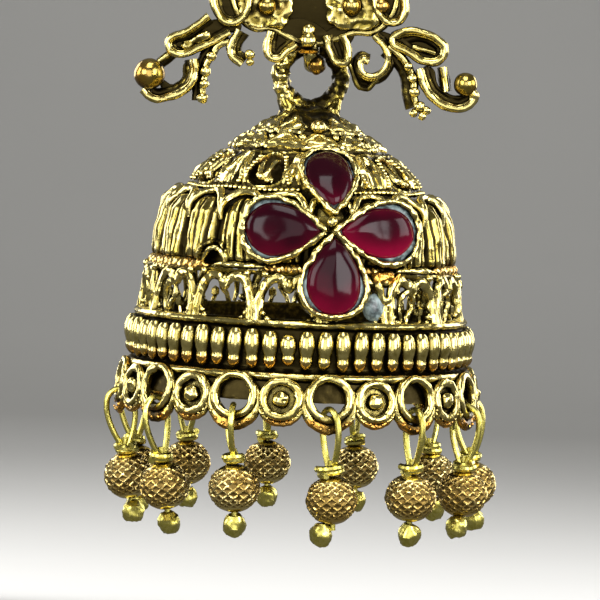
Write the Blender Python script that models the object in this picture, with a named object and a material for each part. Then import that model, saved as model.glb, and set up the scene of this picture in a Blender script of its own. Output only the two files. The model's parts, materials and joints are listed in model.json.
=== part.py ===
"""A jhumka earring: a stud with cast scrolls, and a domed bell of antique gold that hangs on its hook.

The origin is where the post leaves its pad, so the ear lobe starts at y = 0. The front faces -Y, +Z is up.
The bell is built round its own axis, with depths counted down from the middle of the ring on its top.
Lengths are in millimetres, and place() turns them into metres.
"""

import math

import bmesh
import bpy
from mathutils import Matrix, Vector

MM = 0.001
WELD = 1e-5
STANDING = Matrix.Rotation(math.pi / 2, 4, "X")

# Stud, millimetres from the origin
PLAQUE_BACK = -0.55
PLAQUE_FRONT = -1.15
SCROLL_FRONT = -2.0
SCROLL_BACK = -0.75
SCROLL_WIDTH = 0.46
BALL_RADIUS = 1.0
BOSS_RADIUS = 0.7
HOOK_WIRE = 0.55
PAD_RADIUS = 1.7
PAD_THICK = 0.5
POST_RADIUS = 0.4
POST_LENGTH = 10.0
POST_TIP = 0.4
POST_TIP_RADIUS = 0.24

# Bell
RING_HEIGHT = -6.95
RING_DEPTH_IN = 0.8
RING_MAJOR = 2.18
RING_WIRE = 0.675
HOOK_GAP = 0.05
PIVOT_ABOVE_RING = RING_MAJOR - RING_WIRE - HOOK_WIRE - HOOK_GAP
BELL_TURN = math.radians(10.2)
BELL_STEPS = 60
RIBS = 20
RIB_SWELL = 0.28
RIB_TOP = 8.3
RIB_FOOT = 13.0
RIB_INSIDE = 9.36
ARCHES = 15
ARCH_TURN = math.radians(-2.6)
ARCH_WIDTH = 3.4
ARCH_TOP = 14.5
ARCH_FOOT = 16.7
ARCH_SPRING = 0.35
ARCH_STEPS = 6
ARCH_REACH = (9.0, 13.0)

# Skirt of rings and discs
DROPS = 12
SKIRT_RADIUS = 12.55
SKIRT_THICK = 0.7
SKIRT_LEAN = math.radians(8)
EYE_RADIUS = 1.12
EYE_DEPTH = 21.97
EYE_OUTER = 1.98
EYE_OUTER_DEPTH = 22.36
DISC_RADIUS = 1.62
DISC_DEPTH = 22.32
DISC_BOSS_RADIUS = 0.75
DISC_BOSS_RISE = 0.4

# Drops
WIRE = 0.225
LOOP_RADIUS = 12.66
LOOP_SLIDE = 1.2
LOOP_TOP_DEPTH = 22.66
LOOP_FOOT_DEPTH = 26.35
WRAP_RADIUS = 0.95
WRAP_HEIGHT = 0.78
WRAP_NECK = 0.4
WRAP_RISE = 0.15
BEAD_RADIUS = 1.76
BEAD_HALF = 1.64
BEAD_DEPTH = 28.86
BORE_GAP = 0.08
PELLET_RADIUS = 0.81
PIECE_GAP = 0.06
BEAD_CAP = math.radians(24)
BEAD_RINGS = 5
BEAD_STEPS = 12

# The bell's outer line, from the neck to the lower ridge
BELL_OUTSIDE = (
    # depth, radius
    (2.40, 1.70),
    (2.82, 2.14),
    (3.71, 3.57),
    (5.00, 5.36),
    (7.00, 7.61),
    (8.05, 8.20),
    (8.46, 9.00),
    (9.80, 10.20),
    (11.20, 10.54),
    (13.00, 10.64),
    (13.50, 11.00),
    (14.00, 10.85),
    (16.70, 11.50),
    (17.05, 11.90),
    (17.60, 12.25),
    (18.90, 12.44),
    (20.10, 12.05),
    (20.60, 12.20),
    (21.10, 12.00),
)
# Its inner line, from the lower edge back up to the crown
BELL_INSIDE = (
    # depth, radius
    (21.10, 11.40),
    (17.00, 10.80),
    (13.60, 9.85),
    (9.90, 9.35),
    (8.00, 7.40),
    (5.00, 4.30),
    (4.20, 2.60),
)
INSIDE_TOP = 4.0

# The four petals of the flower: size, azimuth, depth and radius of the middle, lean from upright
PETALS = (
    # name, length, width, azimuth, depth, radius, lean, tip towards (across, up)
    ("top", 6.4, 4.2, 0.5, 7.70, 8.40, 45, (0, -1)),
    ("left", 6.1, 4.8, -17.4, 10.65, 10.50, 5, (1, 0)),
    ("right", 6.8, 4.7, 16.4, 10.65, 10.55, 5, (-1, 0)),
    ("bottom", 6.2, 5.0, 0.5, 13.60, 10.95, 5, (0, 1)),
)
PETAL_SUNK = 0.7
PETAL_PLATE = 0.30
PETAL_RIM = 0.85
PETAL_RIM_WIDTH = 0.32
STONE_GIRDLE = 0.25
STONE_RISE = 1.35
PEAR_STEPS = 20
PEAR_WIDEST = 0.7698
# The dome of a stone: its outline's share of the girdle, and the share of the rise
STONE_DOME = ((0.87, 0.50), (0.62, 0.82), (0.30, 0.98))

# How far each drop leans, as it came to hang: inwards and to the +X side, in degrees
DROP_LEANS = (
    # in, across
    (0, 4),
    (1, 0),
    (2, 2),
    (-2, 3),
    (0, 5),
    (1, 3),
    (1, 2),
    (0, 2),
    (2, 3),
    (5, 4),
    (2, 7),
    (0, 3),
)

# One half of a pin's loop: across and below its top
LOOP_SIDE = ((0.96, 0.60), (0.96, 2.0))
LOOP_NECK = 0.14

# One side of the stud: middle lines of its scrolls, across and up from the origin
J_CURL = ((7.7, -5.3), (8.0, -6.7), (8.35, -7.6), (9.1, -8.4), (10.2, -8.75), (11.2, -8.6), (11.9, -7.8))
LEAF = ((6.2, -3.2), (8.0, -3.65), (9.5, -4.4), (9.55, -5.5), (8.3, -5.5), (6.7, -4.4))
LINK = ((9.4, -5.5), (10.5, -6.5))
STALK = ((5.3, -4.2), (6.5, -5.2), (7.05, -6.0), (7.3, -7.15), (7.5, -8.15), (7.75, -9.4))
C_CURL = ((4.5, -3.6), (5.25, -4.9), (5.45, -5.75), (5.1, -6.45), (4.4, -6.7), (3.85, -6.2))
CENTRE_LEAF = ((2.4, -3.6), (2.8, -5.0), (2.5, -5.7), (1.8, -5.65), (1.1, -5.0), (0.6, -4.4))
EYE_FRAME = ((5.6, -3.4), (6.7, -2.4), (6.7, -0.9), (5.6, 0.0), (4.6, -1.0), (4.8, -2.6))
BOSS = (3.0, -2.0)
BALL = (11.05, -7.2)
SCROLLS = (
    # middle line, whether it closes on itself, how far its front is sunk
    (J_CURL, False, 0.00),
    (LEAF, True, 0.05),
    (LINK, False, 0.32),
    (STALK, False, 0.22),
    (C_CURL, False, 0.10),
    (CENTRE_LEAF, False, 0.03),
    (EYE_FRAME, True, 0.15),
)
# Grains across, up and their radius: those of a stalk, and the bead stack over the hook
STALK_GRAINS = ((7.05, -6.0, 0.42), (7.3, -7.15, 0.46), (7.5, -8.15, 0.42), (7.7, -9.1, 0.46))
MIDDLE_GRAINS = ((0, -3.75, 0.55), (0, -4.5, 0.6), (0, -5.15, 0.5))
# The right half of the plaque's outline, across and up
PLAQUE_HALF = (
    (0.0, 5.2),
    (2.0, 4.9),
    (3.8, 3.9),
    (5.2, 2.4),
    (6.0, 0.6),
    (6.2, -1.2),
    (5.6, -3.0),
    (4.6, -3.9),
    (3.0, -4.0),
    (1.6, -4.6),
    (0.0, -5.0),
)
# The hook's middle line behind the plaque, back and up from the origin
HOOK_LINE = (
    (-0.9, -4.6),
    (-0.85, -5.6),
    (-0.3, -6.05),
    (0.8, -6.05),
    (2.0, -5.9),
    (2.55, -4.7),
    (2.3, -3.2),
    (1.2, -2.45),
    (-0.85, -2.4),
)


def clear_scene():
    for old in list(bpy.data.objects):
        bpy.data.objects.remove(old, do_unlink=True)


def finish_of(name, colour, roughness, metallic):
    material = bpy.data.materials.new(name)
    material.use_nodes = True
    shader = material.node_tree.nodes["Principled BSDF"]
    shader.inputs["Base Color"].default_value = (*colour, 1)
    shader.inputs["Roughness"].default_value = roughness
    shader.inputs["Metallic"].default_value = metallic
    return material


def place(name, shape, material=None, parent=None):
    """Turns a bmesh in millimetres into an object in metres."""
    bmesh.ops.transform(shape, matrix=Matrix.Scale(MM, 4), verts=shape.verts)
    bmesh.ops.recalc_face_normals(shape, faces=shape.faces)
    mesh = bpy.data.meshes.new(name)
    shape.to_mesh(mesh)
    shape.free()
    mesh.shade_smooth()
    mesh.set_sharp_from_angle(angle=math.radians(35))
    piece = bpy.data.objects.new(name, mesh)
    bpy.context.scene.collection.objects.link(piece)
    piece.parent = parent
    if material:
        mesh.materials.append(material)
    return piece


def hang(name, shape, material, pivot):
    """Places a piece that is drawn from the ring's middle under the pivot of the bell."""
    piece = place(name, shape, material, pivot)
    piece.location.z = -PIVOT_ABOVE_RING * MM
    return piece


def combine(base, shapes, operation):
    """Unites base with the shapes, or cuts them out of it."""
    helpers = bpy.data.collections.new("helpers")
    bpy.context.scene.collection.children.link(helpers)
    others = [place("helper", shape, None, base.parent) for shape in shapes]
    for other in others:
        other.location = base.location
        helpers.objects.link(other)
    step = base.modifiers.new(operation, "BOOLEAN")
    step.operation = operation
    step.operand_type = "COLLECTION"
    step.collection = helpers
    step.solver = "EXACT"
    step.use_self = operation == "UNION"
    bpy.context.view_layer.update()
    graph = bpy.context.evaluated_depsgraph_get()
    base.data = bpy.data.meshes.new_from_object(base.evaluated_get(graph))
    base.modifiers.clear()
    for other in others:
        bpy.data.objects.remove(other, do_unlink=True)
    bpy.data.collections.remove(helpers)


def moved(shape, matrix):
    bmesh.ops.transform(shape, matrix=matrix, verts=shape.verts)
    return shape


def turned(section, steps, closed=False):
    """Points of (radius, height) spun into a solid round Z. An open section starts and ends on the axis."""
    shape = bmesh.new()
    corners = [shape.verts.new((radius, 0, height)) for radius, height in section]
    ends = corners[1:] + corners[:1] if closed else corners[1:]
    edges = [shape.edges.new(pair) for pair in zip(corners, ends)]
    bmesh.ops.spin(
        shape,
        geom=corners + edges,
        cent=(0, 0, 0),
        axis=(0, 0, 1),
        angle=math.tau,
        steps=steps,
        use_merge=True,
    )
    bmesh.ops.remove_doubles(shape, verts=shape.verts, dist=WELD)
    bmesh.ops.dissolve_degenerate(shape, edges=shape.edges, dist=WELD)
    return shape


def prism(outline, low, high):
    """A flat outline in XY pushed up from low to high."""
    shape = bmesh.new()
    face = shape.faces.new([shape.verts.new((x, y, low)) for x, y in outline])
    pushed = bmesh.ops.extrude_face_region(shape, geom=[face])
    corners = [item for item in pushed["geom"] if isinstance(item, bmesh.types.BMVert)]
    bmesh.ops.translate(shape, verts=corners, vec=(0, 0, high - low))
    return shape


def grain(radius, centre, flatten=1.0, rings=4):
    """A small round grain or ball."""
    shape = bmesh.new()
    bmesh.ops.create_uvsphere(shape, u_segments=rings + 2, v_segments=rings, radius=radius)
    bmesh.ops.scale(shape, vec=(1, 1, flatten), verts=shape.verts)
    bmesh.ops.translate(shape, vec=centre, verts=shape.verts)
    return shape


def wire(points, radius, sides, smooth, closed=False, stretch=0.0):
    """A bent wire along a line, or a standing strip where stretch pulls its section out along Z."""
    curve = bpy.data.curves.new("guide", "CURVE")
    curve.dimensions = "3D"
    curve.twist_mode = "MINIMUM"
    curve.resolution_u = smooth
    curve.bevel_depth = radius * MM
    curve.bevel_resolution = (sides - 4) // 2
    curve.extrude = stretch * MM
    curve.use_fill_caps = True
    spline = curve.splines.new("BEZIER")
    spline.bezier_points.add(len(points) - 1)
    for knot, point in zip(spline.bezier_points, points):
        knot.co = Vector(point) * MM
        knot.handle_left_type = "AUTO"
        knot.handle_right_type = "AUTO"
    spline.use_cyclic_u = closed
    guide = bpy.data.objects.new("guide", curve)
    bpy.context.scene.collection.objects.link(guide)
    bpy.context.view_layer.update()
    graph = bpy.context.evaluated_depsgraph_get()
    mesh = bpy.data.meshes.new_from_object(guide.evaluated_get(graph))
    bpy.data.objects.remove(guide, do_unlink=True)
    shape = bmesh.new()
    shape.from_mesh(mesh)
    bmesh.ops.transform(shape, matrix=Matrix.Scale(1 / MM, 4), verts=shape.verts)
    bmesh.ops.remove_doubles(shape, verts=shape.verts, dist=WELD)
    return shape


def scroll(line, side, closed, sunk):
    """A cast strip that stands on edge, its middle line given across and up, its front sunk a little."""
    half = SCROLL_WIDTH / 2 - sunk / 10
    front = SCROLL_FRONT + sunk
    back = SCROLL_BACK + sunk / 4
    flat = [(side * across, up, 0) for across, up in line]
    shape = wire(flat, half, 4, 2, closed, (back - front) / 2 - half)
    return moved(shape, Matrix.Translation((0, (back + front) / 2, 0)) @ STANDING)


def stud_motif(gold):
    """Plaque, scrolls, balls, beaded stalks and the hook behind, soldered into one piece."""
    other_half = [(-across, up) for across, up in reversed(PLAQUE_HALF[1:-1])]
    plate = prism(list(PLAQUE_HALF) + other_half, -PLAQUE_BACK, -PLAQUE_FRONT)
    motif = place("stud_motif", moved(plate, STANDING), gold)
    middle = (SCROLL_BACK + SCROLL_FRONT) / 2
    parts = [wire([(0, back, up) for back, up in HOOK_LINE], HOOK_WIRE, 8, 2)]
    for side in (-1, 1):
        parts += [scroll(line, side, closed, sunk) for line, closed, sunk in SCROLLS]
        parts.append(grain(BALL_RADIUS, (side * BALL[0], middle, BALL[1]), rings=8))
        parts.append(grain(BOSS_RADIUS, (side * BOSS[0], PLAQUE_FRONT - 0.2, BOSS[1]), rings=6))
        for across, up, radius in STALK_GRAINS:
            parts.append(grain(radius, (side * across, SCROLL_FRONT + 0.1, up)))
    for across, up, radius in MIDDLE_GRAINS:
        parts.append(grain(radius, (across, PLAQUE_FRONT - 0.3, up), flatten=0.7))
    combine(motif, parts, "UNION")
    return motif


def ear_post(steel):
    """Pad and post in one, behind the plaque."""
    section = (
        (0, -PAD_THICK),
        (PAD_RADIUS, -PAD_THICK),
        (PAD_RADIUS, 0),
        (POST_RADIUS, 0),
        (POST_RADIUS, POST_LENGTH - POST_TIP),
        (POST_TIP_RADIUS, POST_LENGTH),
        (0, POST_LENGTH),
    )
    return place("ear_post", moved(turned(section, 14), STANDING.inverted()), steel)


def pear(length, width):
    """A pear outline with its tip at +X, centred along its length."""
    outline = []
    for i in range(PEAR_STEPS):
        angle = math.tau * i / PEAR_STEPS
        across = math.sin(angle) * math.sin(angle / 2) / PEAR_WIDEST
        outline.append((length / 2 * math.cos(angle), width / 2 * across))
    return outline


def petal_frame(azimuth, depth, radius, lean, tip):
    """The matrix of a petal's base: X to the tip, Z straight out of the bell."""
    azimuth = math.radians(azimuth)
    lean = math.radians(lean)
    level = Vector((math.sin(azimuth), -math.cos(azimuth), 0))
    across = Vector((math.cos(azimuth), math.sin(azimuth), 0))
    outward = level * math.cos(lean) + Vector((0, 0, math.sin(lean)))
    along = across * tip[0] + outward.cross(across) * tip[1]
    turn = Matrix((along, outward.cross(along), outward)).transposed().to_4x4()
    return Matrix.Translation(level * radius + Vector((0, 0, -depth))) @ turn


def on_skirt(azimuth, depth, shape):
    """Stands a flat shape, drawn in XY with +Z outwards, on the skirt."""
    out = Matrix.Rotation(azimuth, 4, "Z") @ Matrix.Translation((0, -SKIRT_RADIUS, -depth))
    return moved(shape, out @ Matrix.Rotation(math.pi / 2 - SKIRT_LEAN, 4, "X"))


def bell_shell():
    """The domed wall from the neck to the lower ridge, its rib band drawn out into lobes."""
    section = [(0, -BELL_OUTSIDE[0][0])] + [(radius, -depth) for depth, radius in BELL_OUTSIDE]
    section += [(radius, -depth) for depth, radius in BELL_INSIDE] + [(0, -INSIDE_TOP)]
    shape = turned(section, BELL_STEPS)
    for corner in shape.verts:
        radius = corner.co.xy.length
        down = (-corner.co.z - RIB_TOP) / (RIB_FOOT - RIB_TOP)
        if 0 < down < 1 and radius > RIB_INSIDE:
            azimuth = math.atan2(corner.co.x, -corner.co.y)
            grown = 1 + RIB_SWELL * math.sin(math.pi * down) * math.cos(RIBS * azimuth) / radius
            corner.co.xy *= grown
    return shape


def arch_cutter(azimuth):
    """A round-headed window, pushed through the wall."""
    rise = ARCH_FOOT - ARCH_TOP
    outline = [(ARCH_WIDTH / 2, 0)]
    for i in range(1, ARCH_STEPS):
        angle = math.pi * i / ARCH_STEPS
        up = rise * (ARCH_SPRING + (1 - ARCH_SPRING) * math.sin(angle))
        outline.append((ARCH_WIDTH / 2 * math.cos(angle), up))
    outline.append((-ARCH_WIDTH / 2, 0))
    stand = Matrix.Translation((0, 0, -ARCH_FOOT)) @ STANDING
    return moved(prism(outline, *ARCH_REACH), Matrix.Rotation(azimuth, 4, "Z") @ stand)


def skirt_eye():
    """A flat ring whose lower rim is the thicker one."""
    half = SKIRT_THICK / 2
    section = ((EYE_RADIUS, -half), (EYE_OUTER, -half), (EYE_OUTER, half), (EYE_RADIUS, half))
    shape = turned(section, 14, closed=True)
    for corner in shape.verts:
        if corner.co.xy.length > (EYE_RADIUS + EYE_OUTER) / 2:
            corner.co.y -= EYE_OUTER_DEPTH - EYE_DEPTH
    return shape


def skirt_disc():
    """A flat disc with a low boss on its face."""
    half = SKIRT_THICK / 2
    section = ((0, -half), (DISC_RADIUS, -half), (DISC_RADIUS, half), (DISC_BOSS_RADIUS, half))
    return turned(section + ((0, half + DISC_BOSS_RISE),), 10)


def bell(gold, pivot):
    """Ring, crown, bands, ridges, skirt and petal settings, cast and soldered into one piece."""
    body = hang("bell", bell_shell(), gold, pivot)
    turns = [math.tau * (i + 0.5) / ARCHES for i in range(ARCHES)]
    combine(body, [arch_cutter(ARCH_TURN + turn) for turn in turns], "DIFFERENCE")

    turns = [math.tau * i / 8 for i in range(8)]
    ring = [(RING_MAJOR * math.sin(turn), 0, RING_MAJOR * math.cos(turn)) for turn in turns]
    parts = [wire(ring, RING_WIRE, 8, 2, closed=True)]
    for i in range(DROPS):
        azimuth = math.tau * i / DROPS
        parts.append(on_skirt(azimuth, EYE_DEPTH, skirt_eye()))
        parts.append(on_skirt(azimuth + math.pi / DROPS, DISC_DEPTH, skirt_disc()))
    wells = []
    for _, length, width, *seat in PETALS:
        frame = petal_frame(*seat)
        parts.append(moved(prism(pear(length, width), -PETAL_SUNK, PETAL_RIM), frame))
        well = pear(length - 2 * PETAL_RIM_WIDTH, width - 2 * PETAL_RIM_WIDTH)
        wells.append(moved(prism(well, PETAL_PLATE, PETAL_RIM + 1), frame))
    combine(body, parts, "UNION")
    combine(body, wells, "DIFFERENCE")
    return body


def stone(petal, ruby, pivot):
    """A domed pear cabochon that sits in its setting with a small gap all round."""
    name, length, width, *seat = petal
    inset = 2 * (PETAL_RIM_WIDTH + PIECE_GAP)
    shape = prism(pear(length - inset, width - inset), 0, STONE_GIRDLE)
    top = max(shape.faces, key=lambda face: face.calc_center_median().z)
    share, height = 1.0, STONE_GIRDLE
    for next_share, rise in STONE_DOME:
        made = bmesh.ops.extrude_face_region(shape, geom=[top])
        bmesh.ops.delete(shape, geom=[top], context="FACES_ONLY")
        top = next(item for item in made["geom"] if isinstance(item, bmesh.types.BMFace))
        next_height = STONE_GIRDLE + (STONE_RISE - STONE_GIRDLE) * rise
        shrink = next_share / share
        bmesh.ops.scale(shape, vec=(shrink, shrink, 1), verts=top.verts)
        bmesh.ops.translate(shape, vec=(0, 0, next_height - height), verts=top.verts)
        share, height = next_share, next_height
    lift = Matrix.Translation((0, 0, PETAL_PLATE + PIECE_GAP))
    return hang("ruby_" + name, moved(shape, petal_frame(*seat) @ lift), ruby, pivot)


def drop_frame(i):
    """The matrix of a drop: its origin at the loop's top. A loop that leans in slides out on its eye."""
    azimuth = math.tau * i / DROPS
    inwards, across = (math.radians(lean) for lean in DROP_LEANS[i])
    facing = azimuth + BELL_TURN
    inwards -= across * math.sin(facing)
    across *= math.cos(facing)
    out = LOOP_RADIUS + LOOP_SLIDE * inwards
    top = Matrix.Rotation(azimuth, 4, "Z") @ Matrix.Translation((0, -out, -LOOP_TOP_DEPTH))
    return top @ Matrix.Rotation(-across, 4, "Y") @ Matrix.Rotation(inwards, 4, "X")


def drop_pin(i, brass, pivot):
    """Loop, two-turn wrap, shank and end pellet of one brass pin."""
    neck = LOOP_TOP_DEPTH - LOOP_FOOT_DEPTH
    pellet = LOOP_TOP_DEPTH - BEAD_DEPTH - BEAD_HALF - PIECE_GAP - PELLET_RADIUS
    line = [(0, -across, -down) for across, down in reversed(LOOP_SIDE)]
    line += [(0, 0, 0)] + [(0, across, -down) for across, down in LOOP_SIDE]
    line = [(0, -LOOP_NECK, neck)] + line + [(0, LOOP_NECK, neck)]
    foot, top = neck - WRAP_HEIGHT, neck + WRAP_RISE
    wrap = ((0, foot), (WRAP_RADIUS, foot), (WRAP_RADIUS, neck), (WRAP_NECK, top), (0, top))
    shank = ((0, pellet), (WIRE, pellet), (WIRE, neck), (0, neck))
    frame = drop_frame(i)
    pin = hang(f"drop_pin_{i:02d}", moved(wire(line, WIRE, 6, 2), frame), brass, pivot)
    parts = [turned(wrap, 8), turned(shank, 6), grain(PELLET_RADIUS, (0, 0, pellet), rings=6)]
    combine(pin, [moved(part, frame) for part in parts], "UNION")
    return pin


def drop_bead(i, rose_gold, pivot):
    """An oblate bead with its bore, threaded on the pin."""
    bore = WIRE + BORE_GAP
    section = [(bore, BEAD_HALF), (bore, -BEAD_HALF)]
    for k in range(BEAD_RINGS + 1):
        angle = -math.pi / 2 + BEAD_CAP + (math.pi - 2 * BEAD_CAP) * k / BEAD_RINGS
        section.append((BEAD_RADIUS * math.cos(angle), BEAD_HALF * math.sin(angle) / math.cos(BEAD_CAP)))
    middle = Matrix.Translation((0, 0, LOOP_TOP_DEPTH - BEAD_DEPTH))
    shape = moved(turned(section, BEAD_STEPS, closed=True), drop_frame(i) @ middle)
    return hang(f"drop_bead_{i:02d}", shape, rose_gold, pivot)


def main():
    clear_scene()
    gold = finish_of("antique_gold", (0.62, 0.45, 0.16), 0.32, 1.0)
    brass = finish_of("bright_brass", (0.72, 0.62, 0.20), 0.25, 1.0)
    rose_gold = finish_of("cut_rose_gold", (0.60, 0.38, 0.18), 0.35, 1.0)
    ruby = finish_of("ruby", (0.30, 0.01, 0.05), 0.08, 0.0)
    steel = finish_of("post_steel", (0.60, 0.58, 0.52), 0.30, 1.0)
    stud_motif(gold)
    ear_post(steel)
    pivot = bpy.data.objects.new("bell_pivot", None)
    pivot.location = Vector((0, RING_DEPTH_IN, RING_HEIGHT + PIVOT_ABOVE_RING)) * MM
    pivot.rotation_euler.z = BELL_TURN
    bpy.context.scene.collection.objects.link(pivot)
    bell(gold, pivot)
    for petal in PETALS:
        stone(petal, ruby, pivot)
    for i in range(DROPS):
        drop_pin(i, brass, pivot)
        drop_bead(i, rose_gold, pivot)


main()
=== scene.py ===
"""The finished jhumka earring: cast and antiqued gold, red stones, cut beads on brass wires."""

import json
import math
import random

import bmesh
import bpy
import numpy as np
from mathutils import Matrix, Vector, noise


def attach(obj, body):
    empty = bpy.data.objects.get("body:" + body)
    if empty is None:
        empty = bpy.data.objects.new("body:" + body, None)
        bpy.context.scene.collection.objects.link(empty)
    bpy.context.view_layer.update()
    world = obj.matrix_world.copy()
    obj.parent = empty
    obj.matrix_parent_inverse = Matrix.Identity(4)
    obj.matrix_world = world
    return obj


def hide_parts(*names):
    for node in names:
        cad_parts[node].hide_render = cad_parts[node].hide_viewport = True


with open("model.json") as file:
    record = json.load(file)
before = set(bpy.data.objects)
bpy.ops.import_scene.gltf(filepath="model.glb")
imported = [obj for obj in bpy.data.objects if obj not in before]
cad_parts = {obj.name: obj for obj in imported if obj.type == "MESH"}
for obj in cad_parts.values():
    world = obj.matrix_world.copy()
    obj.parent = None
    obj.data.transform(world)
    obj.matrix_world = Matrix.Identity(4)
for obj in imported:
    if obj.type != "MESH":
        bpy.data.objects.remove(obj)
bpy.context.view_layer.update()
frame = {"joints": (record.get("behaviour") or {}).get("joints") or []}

# Lengths are in millimetres until mesh_of() turns them into metres, and turns named *_TURN are in degrees
MM = 0.001
WELD = 1e-4
FULL_TURN = 360.0
STANDING = Matrix.Rotation(math.pi / 2, 4, "X")
chance = random.Random(7)

# The bell hangs from a hinge: its ring's middle lies this far under the hinge, and it is turned on the hook
hinge = Vector(frame["joints"][0]["pos_m"]) / MM
RING_DROP = 0.905
BELL_TURN = 10.2
RING_MIDDLE = hinge - Vector((0, 0, RING_DROP))
BELL = Matrix.Translation(RING_MIDDLE) @ Matrix.Rotation(math.radians(BELL_TURN), 4, "Z")

# Ring
RING_MAJOR = 2.18
RING_WIRE = 0.62

# Walls of the bell, from the top down: depth under the ring's middle, radius
CROWN_LINE = (
    (2.05, 0.90),
    (2.40, 1.70),
    (2.82, 2.20),
    (3.71, 3.57),
    (5.00, 5.36),
    (7.00, 7.61),
    (8.05, 8.25),
)
CROWN_INSIDE = ((8.05, 7.50), (5.00, 4.35), (4.10, 2.00))
RIB_LINE = (
    (8.00, 8.10),
    (8.35, 8.85),
    (9.00, 9.55),
    (9.80, 10.10),
    (11.20, 10.45),
    (12.60, 10.50),
    (13.20, 10.45),
)
RIB_INSIDE = ((13.20, 9.90), (9.90, 9.40), (8.00, 7.45))
RIM_LINE = (
    (16.72, 11.35),
    (16.82, 11.72),
    (17.02, 11.88),
    (17.24, 11.80),
    (17.40, 11.62),
    (17.80, 11.62),
    (19.00, 11.74),
    (20.05, 11.62),
    (20.28, 11.80),
    (20.36, 12.12),
    (20.60, 12.28),
    (20.86, 12.20),
    (20.98, 12.00),
    (21.50, 12.14),
    (22.30, 12.30),
)
RIM_INSIDE = ((22.30, 11.86), (21.10, 11.45), (17.00, 10.85), (16.72, 10.80))

# Crown: leaves in two rings, then hollows with a fan of blades between each two, then a beaded line
LEAVES = 12
UPPER_LEAF_DEPTH = 3.5
LEAF_DEPTH = 4.62
HOLLOWS = 9
HOLLOW_TURN = 8.0
HOLLOW_DEPTH = 6.72
HOLLOW_HALF = (9.8, 1.0)
BLADES = 6
CROWN_BEADS = 132
CROWN_ROPE_DEPTH = 7.98
CROWN_LEAN = math.radians(55)

# Rib band
RIBS = 20
RIB_HALF = 8.1
FOOT_OPENINGS = 5
FOOT_OPENING_TURN = -45.5
ROPE_DEPTH = 13.36
ROPE_RADIUS = 10.66
ROPE_THICK = 0.42
ROPE_TWISTS = 84

# Arch band. Curled leaves stand in the windows that are beside the flower and behind it
ARCHES = 15
ARCH_TURN = -2.6
ARCH_RADIUS = 11.12
ARCH_WIRE = 0.35
OPEN_WINDOWS = (-45, 32)

# Band of barrels between the ridges
BARRELS = 60
BARREL_DEPTH = 18.80
BARREL_SEAT = 11.92
SHORT_BARREL = 57
BARREL_LINE = (
    # height, radius
    (1.32, 0.0),
    (1.28, 0.30),
    (1.08, 0.47),
    (0.70, 0.58),
    (0.25, 0.61),
    (-0.08, 0.56),
    (-0.34, 0.47),
    (-0.48, 0.44),
    (-0.66, 0.48),
    (-0.88, 0.47),
    (-1.10, 0.36),
    (-1.27, 0.20),
    (-1.36, 0.0),
)

# Skirt
DROPS = 12
SKIRT_RADIUS = 12.55
SKIRT_LEAN = math.radians(8)
EYE_DEPTH = 21.97
DISC_DEPTH = 22.12
DARKER_FROM = 23.1

# Drops
WIRE = 0.215
LOOP_RADIUS = 12.66
LOOP_SLIDE = 1.2
LOOP_TOP_DEPTH = 22.66
LOOP_FOOT_DEPTH = 26.35
LOOP_HALF = (
    # across, down
    (0.34, 0.08),
    (0.76, 0.42),
    (0.97, 1.05),
    (0.97, 1.9),
    (0.74, 2.9),
    (0.42, 3.7),
    (0.24, 4.1),
)
# The wire's end winds round its own neck, in steps of a tenth of a turn
WRAP_STEPS = 22
WRAP_TOP = 0.26
WRAP_LENGTH = 0.44
WRAP_SPREAD = 0.56
FRONT_WRAP_SPREAD = 0.70
BEAD_DEPTH = 28.86
BEAD_RADIUS = 1.74
BEAD_HALF = 1.66
PELLET_RADIUS = 0.80
PELLET_LEAN = 14
PELLET_LINE = (
    # radius, height
    (0, 0.74),
    (0.45, 0.70),
    (0.74, 0.34),
    (0.80, -0.05),
    (0.72, -0.42),
    (0.52, -0.72),
    (0.30, -0.80),
    (0, -0.76),
)
DROP_LEANS = (
    # in, across, in degrees
    (0, 4),
    (1, 0),
    (2, 2),
    (-2, 3),
    (0, 5),
    (1, 3),
    (1, 2),
    (0, 2),
    (2, 3),
    (5, 4),
    (2, 7),
    (0, 3),
)

# Degrees that a loop has turned in its eye
LOOP_TWISTS = {11: 17, 0: 24, 1: -8, 9: -10}
# Sideways bend of a loop, and how far its bead sits higher than the others
LOOP_BOWS = {11: -0.42, 10: -0.15, 0: 0.1, 2: 0.2}
DROP_LIFTS = {11: 0.5, 1: 0.1}
# How far a crimped end is bent to the side of its bead
PELLET_SHIFTS = {0: -0.72, 2: -0.8}

# Flower
PETALS = (
    # name, length, width, azimuth, depth, radius, lean, tip towards (across, up)
    ("top", 6.4, 4.2, 0.5, 7.70, 8.40, 45, (0, -1)),
    ("left", 6.1, 4.8, -17.4, 10.65, 10.50, 5, (1, 0)),
    ("right", 6.8, 4.7, 16.4, 10.65, 10.55, 5, (-1, 0)),
    ("bottom", 6.2, 5.0, 0.5, 13.60, 10.95, 5, (0, 1)),
)
PEAR_STEPS = 72
PEAR_WIDEST = 0.7698
CEMENT_BLOB = (16.6, 11.15, 15.75)
CEMENT_LEVELS = ((1, 0.0), (1, 0.50), (0.97, 0.62), (0.88, 0.74), (0.78, 0.66), (0.6, 0.6))
STONE_GLOW = {"top": 0.45, "left": 0.50, "right": 1.1, "bottom": 0.6}
STONE_FIT = {
    # shorter and narrower than the setting, sharpness of the tip, shift towards the tip
    "top": (1.30, 0.78, 0.25, -0.25),
    "left": (0.85, 1.05, 0.60, 0.02),
    "right": (1.15, 1.15, 0.55, -0.02),
    "bottom": (0.80, 1.10, 0.60, -0.04),
}
BEZEL_FOOT = -0.7
BEZEL_TOP = 0.82
BEZEL_WIDTH = 0.18
BEZEL_WIRE = 0.21
STONE_FOOT = 0.36
STONE_GIRDLE = 0.62
STONE_TOP = 1.42
STONE_STEPS = 11

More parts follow.
